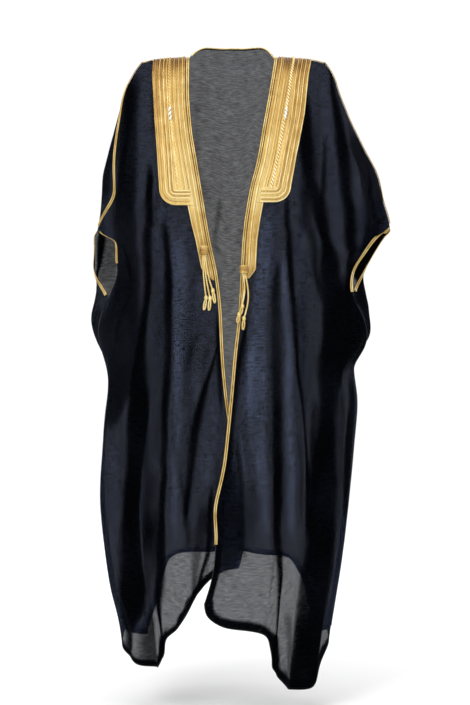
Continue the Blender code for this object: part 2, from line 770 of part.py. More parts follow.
def braid(name, base, normals, tree):
    """An edging braid, thickest along its middle line."""
    heights = np.broadcast_to(np.array(BRAID)[:, None], base.shape[:2])
    return strip(name, base, np.broadcast_to(normals, base.shape), tree, heights, GOLD_BRAID)


def shorten(base, start=0.0, end=0.0):
    """Cut a little off the first and last rows of a strip."""
    base = base.copy()
    for cut, row, inner_row in ((start, 0, 1), (end, -1, -2)):
        if cut:
            way = base[:, inner_row] - base[:, row]
            length = np.linalg.norm(way, axis=-1, keepdims=True)
            base[:, row] += way * (cut / length)
    return base


def edge_strip(edge, inner, width=2 * BRAID_HALF, inset=BRAID_INSET):
    """Three lines of points beside a panel's border, on its first facets."""
    way = inner - edge
    way /= np.linalg.norm(way, axis=-1, keepdims=True)
    offsets = inset + np.array([0.0, 0.5, 1.0]) * width
    return edge[None] + way[None] * offsets[:, None, None]


# ---------------------------------------------------------------- bands
def band_rows(outline, top_drops, foot_z, corner):
    """Heights of a band's rows, and how far the rounded corner cuts each in."""
    top_z = outline[0][1]
    heights = [top_z - drop for drop in top_drops]
    for z in [row[1] for row in outline[1:-1]] + [foot_z + corner]:
        gap = heights[-1] - z
        pieces = max(1, math.ceil(gap / BAND_SPACING))
        heights += [heights[-1] - gap / pieces * (k + 1) for k in range(pieces)]
        heights[-1] = z
    cuts = [0.0] * len(heights)
    if corner:
        for k in range(1, CORNER_FACETS + 1):
            turn = math.pi / 2 * k / CORNER_FACETS
            heights.append(foot_z + corner * (1 - math.sin(turn)))
            cuts.append(corner * (1 - math.cos(turn)))
    return np.array(heights), np.array(cuts)


def band(name, side, tree, outline, columns, top_drops, corner=0.0):
    """A gold band on a front panel, with a raised border at its outer edge."""
    on_left = side == "left"
    sign = 1.0 if on_left else -1.0
    foot_z = outline[-1][1]
    z, cuts = band_rows(outline, top_drops, foot_z, corner)
    edge = np.asarray(FRONT_EDGES[side], float)
    line = np.asarray(outline, float)
    inner_x = smooth_curve(edge[:, 1], edge[:, 0])(z) + sign * BAND_GAP
    outer_x = smooth_curve(line[:, 1], line[:, 0])(z) - sign * cuts
    shares = np.arange(columns + 1) / columns
    x = inner_x[None] + (outer_x - inner_x)[None] * shares[:, None]
    settle = smoothstep(0.0, BAND_SETTLE, -z)[None]
    z = z[None] + ridge_z(np.abs(x)) * (1 - settle)
    angle = reach_to_angle(np.abs(x) / half_width(z, on_left), False, on_left)
    base = section(angle, z, side_lift(side, angle, z))
    normals = grid_normals(base, (0, -1, 0))
    heights = np.full(x.shape, BAND_THICK)
    heights[-2:] = BORDER_THICK
    return strip(name, base, normals, tree, heights, GOLD_BAND)


# ---------------------------------------------------------------- tassels
def cloth_place(side, x, z, lift):
    """A point in front of a front panel, at a front-view place."""
    x = np.asarray(x, float)
    z = np.asarray(z, float)
    on_left = x > 0
    reach = np.abs(x) / half_width(z, on_left)
    angle = reach_to_angle(reach, False, on_left)
    extra = overlap_lift(angle, z) if side == "left" else 0.0
    return section(angle, z, extra + lift)


def tube_along(builder, points, radius, sides):
    """A closed tube along a line of points that never runs straight forward."""
    points = [Vector(p) for p in points]
    rings = []
    for k, point in enumerate(points):
        before = points[max(k - 1, 0)]
        after = points[min(k + 1, len(points) - 1)]
        way = (after - before).normalized()
        across = way.cross(FORWARD).normalized()
        out = across.cross(way)
        ring = []
        for s in range(sides):
            a = 2 * math.pi * s / sides
            offset = (across * math.cos(a) + out * math.sin(a)) * radius
            ring.append(builder.verts.new(point + offset))
        rings.append(ring)
    for low, high in zip(rings, rings[1:]):
        for s in range(sides):
            t = (s + 1) % sides
            builder.faces.new((low[s], low[t], high[t], high[s]))
    builder.faces.new(rings[0][::-1])
    builder.faces.new(rings[-1])


def ball(builder, centre, radii, sides, rings):
    """A closed ellipsoid."""
    scale = Matrix.Translation(Vector(centre)) @ Matrix.Diagonal((*radii, 1.0))
    bmesh.ops.create_uvsphere(builder, u_segments=sides, v_segments=rings,
                              radius=1.0, matrix=scale)


def ring_loop(builder, top, foot, sides):
    """A closed ring of cord hanging between two points."""
    top = Vector(top)
    foot = Vector(foot)
    middle = (top + foot) / 2
    down = (foot - top).normalized()
    across = down.cross(FORWARD).normalized()
    out = across.cross(down)
    half_long = (foot - top).length / 2
    rings = []
    for k in range(LOOP_FACETS):
        a = 2 * math.pi * k / LOOP_FACETS
        centre = middle + down * (math.cos(a) * half_long)
        centre += across * (math.sin(a) * LOOP_HALF_WIDTH)
        spoke = (down * math.cos(a) + across * math.sin(a)).normalized()
        ring = []
        for s in range(sides):
            b = 2 * math.pi * s / sides
            offset = (spoke * math.cos(b) + out * math.sin(b)) * CORD_RADIUS
            ring.append(builder.verts.new(centre + offset))
        rings.append(ring)
    for k in range(LOOP_FACETS):
        here = rings[k]
        there = rings[(k + 1) % LOOP_FACETS]
        for s in range(sides):
            t = (s + 1) % sides
            builder.faces.new((here[s], here[t], there[t], there[s]))


def shell_object(name, fill):
    """A temporary object holding one closed shell."""
    builder = bmesh.new()
    fill(builder)
    bmesh.ops.recalc_face_normals(builder, faces=builder.faces)
    mesh = bpy.data.meshes.new(name)
    builder.to_mesh(mesh)
    builder.free()
    made = bpy.data.objects.new(name, mesh)
    bpy.context.scene.collection.objects.link(made)
    return made


def fuse(name, fills, look):
    """Join overlapping shells into one solid."""
    body = shell_object(name + "_shell_0", fills[0])
    for k, fill in enumerate(fills[1:], 1):
        other = shell_object(f"{name}_shell_{k}", fill)
        cut = body.modifiers.new("join", "BOOLEAN")
        cut.operation = "UNION"
        cut.solver = "EXACT"
        cut.object = other
        graph = bpy.context.evaluated_depsgraph_get()
        joined = bpy.data.meshes.new_from_object(body.evaluated_get(graph))
        body.modifiers.clear()
        body.data = joined
        bpy.data.objects.remove(other, do_unlink=True)
    builder = bmesh.new()
    builder.from_mesh(body.data)
    bpy.data.objects.remove(body, do_unlink=True)
    bmesh.ops.triangulate(builder, faces=builder.faces)
    return add_object(name, builder, look)


def tassel(name, side):
    """A knotted bead with three looped cords, hanging against the front."""
    plan = TASSELS[side]
    bead_x, bead_z = plan["bead"]
    band_top = TRIM_LIFT + BAND_THICK
    bead_lift = band_top + BEAD_RADII[1] + BEAD_CLEAR
    bead_at = cloth_place(side, bead_x, bead_z, bead_lift)
    fills = [lambda b: ball(b, bead_at, BEAD_RADII, BEAD_SIDES, BEAD_RINGS)]
    for k, row in enumerate(plan["cords"]):
        bend_x, bend_z, knot_x, knot_z, foot_x, foot_z = row
        spread = (k - 1) * CORD_SPREAD
        root_z = bead_z - BEAD_RADII[2] * ROOT_DROP
        chin_z = bead_z - BEAD_RADII[2] * CHIN_DROP
        root = cloth_place(side, bead_x + spread, root_z, bead_lift)
        chin = cloth_place(side, bead_x + spread * CHIN_SPREAD, chin_z, bead_lift)
        bend = cloth_place(side, bend_x, bend_z, CORD_CLEAR + BAND_THICK)
        knot = cloth_place(side, knot_x, knot_z, CORD_CLEAR)
        foot = cloth_place(side, foot_x, foot_z, CORD_CLEAR)
        way = (foot - knot) / np.linalg.norm(foot - knot)
        loop_top = knot + way * KNOT_RADIUS * LOOP_START
        line = [root, chin, bend, (bend + knot) / 2, knot]
        fills.append(lambda b, line=line: tube_along(b, line, CORD_RADIUS, CORD_SIDES))
        fills.append(lambda b, at=knot: ball(b, at, [KNOT_RADIUS] * 3, KNOT_SIDES, KNOT_RINGS))
        fills.append(lambda b, a=loop_top, c=foot: ring_loop(b, a, c, CORD_SIDES))
    return fuse(name, fills, GOLD_CORD)


# ---------------------------------------------------------------- build
def clear_scene():
    """Start from an empty scene."""
    for item in list(bpy.data.objects):
        bpy.data.objects.remove(item, do_unlink=True)


def away(points, beside):
    """Unit vectors from points towards the points beside them."""
    way = beside - points
    return way / np.linalg.norm(way, axis=-1, keepdims=True)


def even_out(ways):
    """Unit vectors that turn more evenly from row to row."""
    mean = ways.copy()
    mean[1:-1] = ways[:-2] + 2 * ways[1:-1] + ways[2:]
    mean[0] = ways[0] + ways[1]
    mean[-1] = ways[-1] + ways[-2]
    return mean / np.linalg.norm(mean, axis=-1, keepdims=True)


def wrist_braid(name, panel, normals, tree, at, beside, rows):
    """The braid along one edge of a wrist slit."""
    base = shorten(edge_strip(panel[at, rows], panel[beside, rows]), *SLIT_ENDS)
    ways = np.broadcast_to(even_out(normals[at, rows]), base.shape)
    for _ in range(2):
        base = halfway(base, (1,))
        ways = halfway(ways, (1,))
    braid(name, base, ways, tree)


def shoulder_braid(side, front, back, back_columns, normals, tree, slit_head):
    """The braid over the shoulder seam, from the gold band to the wrist slit."""
    last = FRONT_COLUMNS
    band_x = abs(BROAD_BANDS[side][0][0])
    seam_x = np.abs(front[:, 0, 0])
    first = int(np.nonzero(seam_x > band_x)[0][0])
    top = np.arange(first - 1, last)
    down = np.arange(1, slit_head + 1)
    middle = np.concatenate([front[top, 0], front[last:, 0], front[last, down]])
    ways = []
    for panel, columns in ((front, np.arange(last + 1)), (back, back_columns)):
        beside = away(panel[columns[top], 0], panel[columns[top], 1])
        tip = away(panel[columns[last], 0], panel[columns[last - 1], 1])[None]
        lower = away(panel[columns[last], down], panel[columns[last - 1], down])
        ways.append(np.concatenate([beside, tip, lower]))
    base = np.stack([middle + ways[0] * BRAID_HALF, middle, middle + ways[1] * BRAID_HALF])
    seam_normals = np.concatenate([normals[top, 0], normals[last:, 0], normals[last, down]])
    step = np.linalg.norm(middle[1] - middle[0])
    bare = step * (band_x - seam_x[first - 1]) / (seam_x[first] - seam_x[first - 1])
    base = shorten(base, bare + SHOULDER_ENDS[0], SHOULDER_ENDS[1])
    ways = np.broadcast_to(seam_normals, base.shape)
    braid("shoulder_braid_" + side, halfway(base, (1,)), halfway(ways, (1,)), tree)


def build():
    """Make every piece of the cloak."""
    clear_scene()
    last = FRONT_COLUMNS
    rows = row_shares()
    slit_head, slit_foot = [int(np.argmin(np.abs(rows - share))) for share in SLIT_SHARES]
    fronts = {side: front_grid(side) for side in ("right", "left")}
    back = back_grid()
    back_last = len(back) - 1
    back_columns = {"left": np.arange(last, -1, -1),
                    "right": np.arange(back_last - last, back_last + 1)}
    normals = {side: grid_normals(grid, (0, -1, 0)) for side, grid in fronts.items()}
    back_normals = grid_normals(back, (0, 1, 0))
    closed = np.r_[0:slit_head + 1, slit_foot:ROWS + 1]
    for side in ("right", "left"):
        columns = back_columns[side]
        shared = share_normals(normals[side][:, 0], back_normals[columns, 0])
        normals[side][:, 0] = shared
        back_normals[columns, 0] = shared
        shared = share_normals(normals[side][last, closed], back_normals[columns[-1], closed])
        normals[side][last, closed] = shared
        back_normals[columns[-1], closed] = shared

    walls = {}
    for side in ("right", "left"):
        outer = fronts[side].copy()
        inner = outer - normals[side] * WALL
        for grid in (outer, inner):
            pull_back(grid, 0, 1, True)
            pull_back(grid, last, last - 1, False)
        walls[side] = outer
        slab("front_" + side, outer, inner, CLOTH)
    outer = back.copy()
    inner = outer - back_normals * WALL
    for grid in (outer, inner):
        pull_back(grid, 0, 1, True)
        pull_back(grid, 0, 1, False)
        pull_back(grid, back_last, back_last - 1, False)
    walls["back"] = outer
    slab("back", outer, inner, CLOTH)

    tree = cloth_tree(walls.values())
    slit_rows = np.arange(slit_head, slit_foot + 1)
    for side in ("right", "left"):
        panel = walls[side]
        edge_rows = np.nonzero(panel[0, :, 2] >= EDGE_BRAID_END_Z)[0]
        base = edge_strip(panel[0, edge_rows], panel[1, edge_rows])
        braid("edge_braid_" + side, shorten(base, EDGE_BRAID_START), normals[side][0, edge_rows],
              tree)
        band("chest_band_" + side, side, tree, BROAD_BANDS[side], BAND_COLUMNS,
             BAND_TOP_DROPS, CORNER_RADIUS)
        band("placket_band_" + side, side, tree, NARROW_BANDS[side], NARROW_COLUMNS, (0.0,))
        wrist_braid("wrist_braid_front_" + side, panel, normals[side], tree, last, last - 1,
                    slit_rows)
        side_column, beside = back_columns[side][[-1, -2]]
        wrist_braid("wrist_braid_back_" + side, walls["back"], back_normals, tree,
                    side_column, beside, slit_rows)
        shoulder_braid(side, fronts[side], back, back_columns[side], normals[side], tree,
                       slit_head)
        tassel("tassel_" + side, side)

    neck = np.arange(last, last + 2 * NECK_COLUMNS + 1)
    base = edge_strip(walls["back"][neck, 0], walls["back"][neck, 1], NECK_BRAID_WIDTH)
    braid("neck_braid", shorten(base, NECK_ENDS, NECK_ENDS), back_normals[neck, 0], tree)


build()
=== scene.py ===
# %% [markdown]
# # A bisht cloak
#
# A bisht is a long, sheer over-cloak that is worn open over the shoulders. Its
# front edges, shoulders and wrist slits are trimmed with gold thread. This
# script dresses the cloak's plain solids: it reads their walls, refines them
# into thin cloth with soft creases, and sews the gold work on.
#
# ## Loading the frame
#
# The plain solids are already in the right place and at the right size. We
# load them first, because every piece below is worked out from them.

# %% Load the frame
import math

import bmesh
import bpy
import numpy as np
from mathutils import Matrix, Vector
from mathutils.bvhtree import BVHTree
from mathutils.kdtree import KDTree


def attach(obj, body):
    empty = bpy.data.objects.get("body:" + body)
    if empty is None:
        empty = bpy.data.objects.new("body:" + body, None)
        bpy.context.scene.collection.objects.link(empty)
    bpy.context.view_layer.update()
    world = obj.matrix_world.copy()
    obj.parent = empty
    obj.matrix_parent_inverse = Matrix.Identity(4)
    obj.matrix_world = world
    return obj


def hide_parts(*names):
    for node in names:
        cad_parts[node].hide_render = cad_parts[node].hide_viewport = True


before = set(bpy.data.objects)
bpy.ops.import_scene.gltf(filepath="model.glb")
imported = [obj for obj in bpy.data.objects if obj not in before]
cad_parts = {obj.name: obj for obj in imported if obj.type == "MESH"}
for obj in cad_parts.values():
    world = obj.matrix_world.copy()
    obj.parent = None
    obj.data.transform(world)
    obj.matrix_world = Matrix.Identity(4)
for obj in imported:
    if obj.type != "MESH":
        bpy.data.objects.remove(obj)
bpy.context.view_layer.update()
SIDES = ("right", "left")
print("solids loaded:", len(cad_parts))

# %% [markdown]
# ## Reading a wall as a grid of points
#
# Each cloth panel is a closed wall, 2 mm thick, made from an outer and an
# inner grid of points. The only short edges of such a wall are those that
# cross its rim. So we take the rim away, keep the outer of the two sheets that
# are left, and walk over its triangles from one corner, row by row. The
# result is a tidy grid, which we can refine far better than loose triangles.

# %% The outer sheet of a wall
WALL = 0.002            # thickness of the solid walls
RIM_EDGE = 1.4 * WALL   # every edge shorter than this crosses the rim
FRONT = Vector((0, -1, 0))
BEHIND = Vector((0, 1, 0))


def outer_sheet(node, outward):
    """The outer side of a wall as an open mesh of triangles."""
    sheet = bmesh.new()
    sheet.from_mesh(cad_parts[node].data)
    bmesh.ops.remove_doubles(sheet, verts=sheet.verts, dist=1e-6)
    short = [edge for edge in sheet.edges if edge.calc_length() < RIM_EDGE]
    rim = {face for edge in short for face in edge.link_faces}
    bmesh.ops.delete(sheet, geom=list(rim), context="FACES_ONLY")
    start = max(sheet.faces, key=lambda face: face.normal.dot(outward))
    kept = {start}
    stack = [start]
    while stack:
        for edge in stack.pop().edges:
            for face in edge.link_faces:
                if face not in kept:
                    kept.add(face)
                    stack.append(face)
    other = [face for face in sheet.faces if face not in kept]
    bmesh.ops.delete(sheet, geom=other, context="FACES")
    loose = [vertex for vertex in sheet.verts if not vertex.link_faces]
    bmesh.ops.delete(sheet, geom=loose, context="VERTS")
    return sheet


# %% The border of a sheet, and its corners
def border_loop(sheet):
    """The border's vertices in order, from a corner that only one triangle touches."""
    corner = min(sheet.verts, key=lambda vertex: len(vertex.link_faces))
    loop = [corner]
    before = None
    here = corner
    while True:
        beside = [edge.other_vert(here) for edge in here.link_edges if edge.is_boundary]
        ahead = beside[0] if beside[0] is not before else beside[1]
        if ahead is corner:
            return loop
        loop.append(ahead)
        before = here
        here = ahead


def corner_step(sheet, loop):
    """How many facets lie between the first corner and the next one."""
    half = len(loop) // 2
    product = len(sheet.verts) - half - 1
    spread = math.isqrt(half * half - 4 * product)
    options = ((half - spread) // 2, (half + spread) // 2)
    return min(options, key=lambda step: len(loop[step].link_faces))


# %% Walk over the triangles
def third(face, a, b):
    """The corner of a triangle that is neither a nor b."""
    return next(vertex for vertex in face.verts if vertex not in (a, b))


def walk_grid(sheet):
    """The sheet's vertices as rows and columns."""
    loop = border_loop(sheet)
    wide = corner_step(sheet, loop)
    deep = len(loop) // 2 - wide
    grid = [[None] * (deep + 1) for _ in range(wide + 1)]
    for i in range(wide + 1):
        grid[i][0] = loop[i]
    for j in range(1, deep + 1):
        grid[0][j] = loop[-j]
    used = set()
    for j in range(deep):
        for i in range(wide):
            a, b, c = grid[i][j], grid[i + 1][j], grid[i][j + 1]
            edge = next(edge for edge in a.link_edges if edge.other_vert(a) is b)
            face = next(face for face in edge.link_faces if face not in used)
            used.add(face)
            across = third(face, a, b)
            if across is c:
                edge = next(edge for edge in b.link_edges if edge.other_vert(b) is c)
            else:
                edge = next(edge for edge in a.link_edges if edge.other_vert(a) is across)
            face = next(face for face in edge.link_faces if face not in used)
            used.add(face)
            grid[i + 1][j + 1] = third(face, b, c) if across is c else across
    return np.array([[tuple(vertex.co) for vertex in column] for column in grid])


# %% Read the panels
def panel_grid(node, outward, first_column_x):
    """A panel's points as [column, row], from shoulder to hem."""
    sheet = outer_sheet(node, outward)
    grid = walk_grid(sheet)
    sheet.free()
    falls = [np.abs(np.diff(grid[..., 2], axis=axis)).mean() for axis in (0, 1)]
    if falls[0] > falls[1]:
        grid = grid.swapaxes(0, 1)
    if grid[:, 0, 2].mean() < grid[:, -1, 2].mean():
        grid = grid[:, ::-1]
    if (grid[0, :, 0].mean() - grid[-1, :, 0].mean()) * first_column_x < 0:
        grid = grid[::-1]
    return grid


coarse = {
    "front_right": panel_grid("front_right", FRONT, 1),
    "front_left": panel_grid("front_left", FRONT, -1),
    "back": panel_grid("back", BEHIND, 1),
}
for panel, points in coarse.items():
    print(panel, "read as", points.shape[0], "columns by", points.shape[1], "rows")


# %% [markdown]
# ## Refining the grid
#
# Real cloth has no facets. A natural cubic spline is the smoothest curve that
# passes through given points, like a thin strip of wood bent round pegs. We
# run one along every row and every column. Because each fine point is a fixed
# mix of coarse ones, the whole step is two multiplications of matrices.

# %% Natural splines as matrices
def spline_matrix(count, pieces):
    """Weights that put pieces - 1 new points between neighbours of count points."""
    system = np.eye(count)
    bends = np.zeros((count, count))
    for k in range(1, count - 1):
        system[k, k - 1:k + 2] = (1, 4, 1)
        bends[k, k - 1:k + 2] = (6, -12, 6)
    bends = np.linalg.solve(system, bends)
    places = np.arange((count - 1) * pieces + 1) / pieces
    left = np.minimum(places.astype(int), count - 2)
    share = (places - left)[:, None]
    ones = np.eye(count)
    low = (1 - share) * ones[left] + ((1 - share) ** 3 - (1 - share)) / 6 * bends[left]
    high = share * ones[left + 1] + (share ** 3 - share) / 6 * bends[left + 1]
    return low + high


# %% Refine the panels
def refine(grid, across, down):
    """A finer grid on the smooth surface through the points."""
    wide = spline_matrix(grid.shape[0], across)
    deep = spline_matrix(grid.shape[1], down)
    return np.einsum("ai,ijk,bj->abk", wide, grid, deep)


def grid_normals(points, outward):
    """Unit normals of a grid, turned to the outward side."""
    normals = np.cross(np.gradient(points, axis=0), np.gradient(points, axis=1))
    normals /= np.maximum(np.linalg.norm(normals, axis=-1, keepdims=True), 1e-12)
    middle = normals.shape[0] // 2, normals.shape[1] // 2
    return normals if np.dot(normals[middle], outward) > 0 else -normals


ACROSS = {"front_right": 6, "front_left": 6, "back": 4}   # fine columns to a facet
DOWN = 7                                                  # fine rows to a facet
OUTWARD = {"front_right": FRONT, "front_left": FRONT, "back": BEHIND}
smooth = {panel: refine(coarse[panel], ACROSS[panel], DOWN) for panel in coarse}
print("fine points:", sum(points.shape[0] * points.shape[1] for points in smooth.values()))

# %% [markdown]
# ## Folds
#
# The solids hold the largest folds. The cloth itself has many smaller, soft
# ones that never repeat evenly, so each is listed on its own. A fold follows a
# path of places as seen from the front: x, z and how far it spreads there to
# each side, along the cloth. It stands up or sinks in by some millimetres. The
# last number says how gathered it is, and is partly painted: where more plies of
# this sheer cloth lie behind one another they stop more light, and the same
# number darkens the colour as painted shade. A number below 0 is painted light,
# which makes a lit ridge lighter.

# %% Folds of the wearer's right front
# Each fold is its path of (x, z, half width) in metres, its height in mm and its plies, with
# painted shade, and painted light below 0.
RIGHT_FOLDS = (
    # the sleeve hangs in shade, darkest beside the shoulder braid
    (((-0.230, -0.02, 0.022), (-0.238, -0.145, 0.024), (-0.243, -0.214, 0.029),
      (-0.250, -0.352, 0.035), (-0.246, -0.49, 0.038), (-0.250, -0.56, 0.044),
      (-0.262, -0.63, 0.075), (-0.260, -0.70, 0.060), (-0.265, -0.77, 0.055),
      (-0.286, -0.84, 0.034), (-0.292, -0.88, 0.020)), 0.0, 0.68),
    (((-0.238, -0.02, 0.012), (-0.238, -0.145, 0.010), (-0.248, -0.214, 0.011),
      (-0.260, -0.283, 0.015), (-0.271, -0.352, 0.013), (-0.276, -0.42, 0.008)), -3.0, 0.50),
    (((-0.246, -0.06, 0.012), (-0.256, -0.145, 0.015), (-0.266, -0.214, 0.015),
      (-0.272, -0.27, 0.010)), 0.0, 0.50),
    (((-0.205, -0.06, 0.012), (-0.203, -0.20, 0.012), (-0.206, -0.42, 0.010),
      (-0.206, -0.53, 0.006)), 4.0, 0.00),
    (((-0.182, -0.05, 0.006), (-0.180, -0.12, 0.006), (-0.184, -0.20, 0.006)), -1.5, 0.28),
    # down the outer side of the chest and on to the hem, wider and wider
    (((-0.1885, -0.23, 0.007), (-0.190, -0.352, 0.009), (-0.197, -0.421, 0.011),
      (-0.192, -0.49, 0.012), (-0.199, -0.559, 0.010), (-0.2046, -0.628, 0.011),
      (-0.216, -0.697, 0.018), (-0.218, -0.766, 0.025), (-0.218, -0.834, 0.031),
      (-0.221, -0.903, 0.031), (-0.225, -0.972, 0.031), (-0.232, -1.041, 0.031),
      (-0.230, -1.11, 0.034), (-0.228, -1.18, 0.034), (-0.237, -1.25, 0.037),
      (-0.237, -1.29, 0.030), (-0.248, -1.33, 0.014), (-0.238, -1.40, 0.014)), -4.0, 1.00),
    (((-0.198, -0.73, 0.012), (-0.200, -0.90, 0.015), (-0.196, -1.04, 0.016),
      (-0.194, -1.16, 0.018)), 0.0, 0.36),
    (((-0.184, -0.92, 0.018), (-0.184, -1.04, 0.021), (-0.184, -1.12, 0.022)), 0.0, 0.20),
    (((-0.190, -1.03, 0.022), (-0.192, -1.12, 0.030), (-0.192, -1.18, 0.034),
      (-0.192, -1.28, 0.022)), 0.0, 0.40),
    (((-0.176, -0.45, 0.014), (-0.176, -0.80, 0.014), (-0.180, -0.95, 0.014)), 3.0, 0.14),
    # the long dark fold and its neighbour above the hem
    (((-0.159, -0.36, 0.006), (-0.1505, -0.421, 0.008), (-0.147, -0.49, 0.009),
      (-0.148, -0.559, 0.010), (-0.147, -0.628, 0.011), (-0.147, -0.697, 0.011),
      (-0.1517, -0.766, 0.011), (-0.1563, -0.834, 0.009), (-0.1586, -0.903, 0.009),
      (-0.156, -0.972, 0.009), (-0.162, -1.041, 0.008), (-0.164, -1.09, 0.007)), -4.0, 0.95),
    (((-0.163, -1.03, 0.008), (-0.163, -1.11, 0.011), (-0.166, -1.18, 0.012),
      (-0.166, -1.25, 0.011), (-0.1645, -1.33, 0.009), (-0.163, -1.40, 0.007)), -4.0, 1.00),
    # painted shadow under the foot of the chest band
    (((-0.117, -0.30, 0.010), (-0.117, -0.375, 0.006)), -1.5, 0.35),
    # the broad lit ridge
    (((-0.126, -0.38, 0.020), (-0.120, -0.49, 0.022), (-0.122, -0.56, 0.022),
      (-0.126, -0.63, 0.016), (-0.125, -0.70, 0.014), (-0.1287, -0.80, 0.018),
      (-0.126, -0.834, 0.020), (-0.128, -0.903, 0.014), (-0.131, -0.972, 0.013),
      (-0.132, -1.04, 0.013), (-0.1345, -1.12, 0.013)), 4.0, -0.32),
    (((-0.060, -0.48, 0.020), (-0.070, -0.60, 0.020)), 1.0, -0.24),
    # soft slanting shades and the sharp crease that starts at the front edge
    (((-0.064, -0.60, 0.007), (-0.086, -0.64, 0.009), (-0.099, -0.68, 0.010),
      (-0.105, -0.71, 0.009), (-0.110, -0.75, 0.007)), -2.0, 0.34),
    (((-0.044, -0.63, 0.005), (-0.062, -0.68, 0.007), (-0.074, -0.74, 0.007)), -1.5, 0.30),
    (((-0.038, -0.57, 0.002), (-0.035, -0.63, 0.0035), (-0.031, -0.70, 0.005),
      (-0.029, -0.77, 0.004), (-0.024, -0.83, 0.002)), -1.0, 0.90),
    (((-0.032, -0.64, 0.002), (-0.032, -0.688, 0.003), (-0.046, -0.699, 0.004),
      (-0.054, -0.715, 0.005), (-0.061, -0.742, 0.006), (-0.0644, -0.766, 0.0075),
      (-0.071, -0.795, 0.009), (-0.084, -0.834, 0.011), (-0.093, -0.903, 0.0115),
      (-0.099, -0.972, 0.011), (-0.108, -1.03, 0.009), (-0.112, -1.08, 0.006)), -5.0, 1.00),
    (((-0.080, -0.70, 0.008), (-0.082, -0.80, 0.012)), 1.5, -0.22),
    (((-0.048, -0.76, 0.012), (-0.050, -0.90, 0.022), (-0.070, -1.00, 0.016)), 3.0, -0.20),
    (((-0.046, -0.96, 0.004), (-0.0540, -1.041, 0.008), (-0.054, -1.09, 0.011),
      (-0.052, -1.125, 0.008), (-0.059, -1.150, 0.007), (-0.066, -1.175, 0.009),
      (-0.075, -1.20, 0.011), (-0.086, -1.23, 0.010), (-0.100, -1.30, 0.008)), -2.0, 0.95),
    (((-0.060, -1.00, 0.008), (-0.072, -1.07, 0.018), (-0.086, -1.13, 0.018),
      (-0.084, -1.19, 0.014), (-0.100, -1.30, 0.012)), 0.0, 0.45),
    # behind the left front, where the two lie over each other
    (((0.000, -0.90, 0.016), (-0.004, -1.02, 0.026), (-0.010, -1.12, 0.034),
      (-0.012, -1.30, 0.034)), 0.0, 0.60),
    (((-0.100, -1.03, 0.010), (-0.100, -1.14, 0.012)), -1.0, 0.35),
    # the side edge and the foot
    (((-0.296, -0.80, 0.020), (-0.300, -0.90, 0.024), (-0.302, -1.00, 0.024),
      (-0.298, -1.10, 0.020), (-0.283, -1.22, 0.018), (-0.262, -1.31, 0.014)), 0.0, 0.80),
    (((-0.275, -0.88, 0.012), (-0.275, -1.16, 0.014)), 2.0, -0.08),
    (((-0.240, -0.80, 0.006), (-0.252, -0.85, 0.008)), 1.5, -0.20),
    (((-0.188, -1.24, 0.030), (-0.192, -1.40, 0.040)), 0.0, 0.25),
)

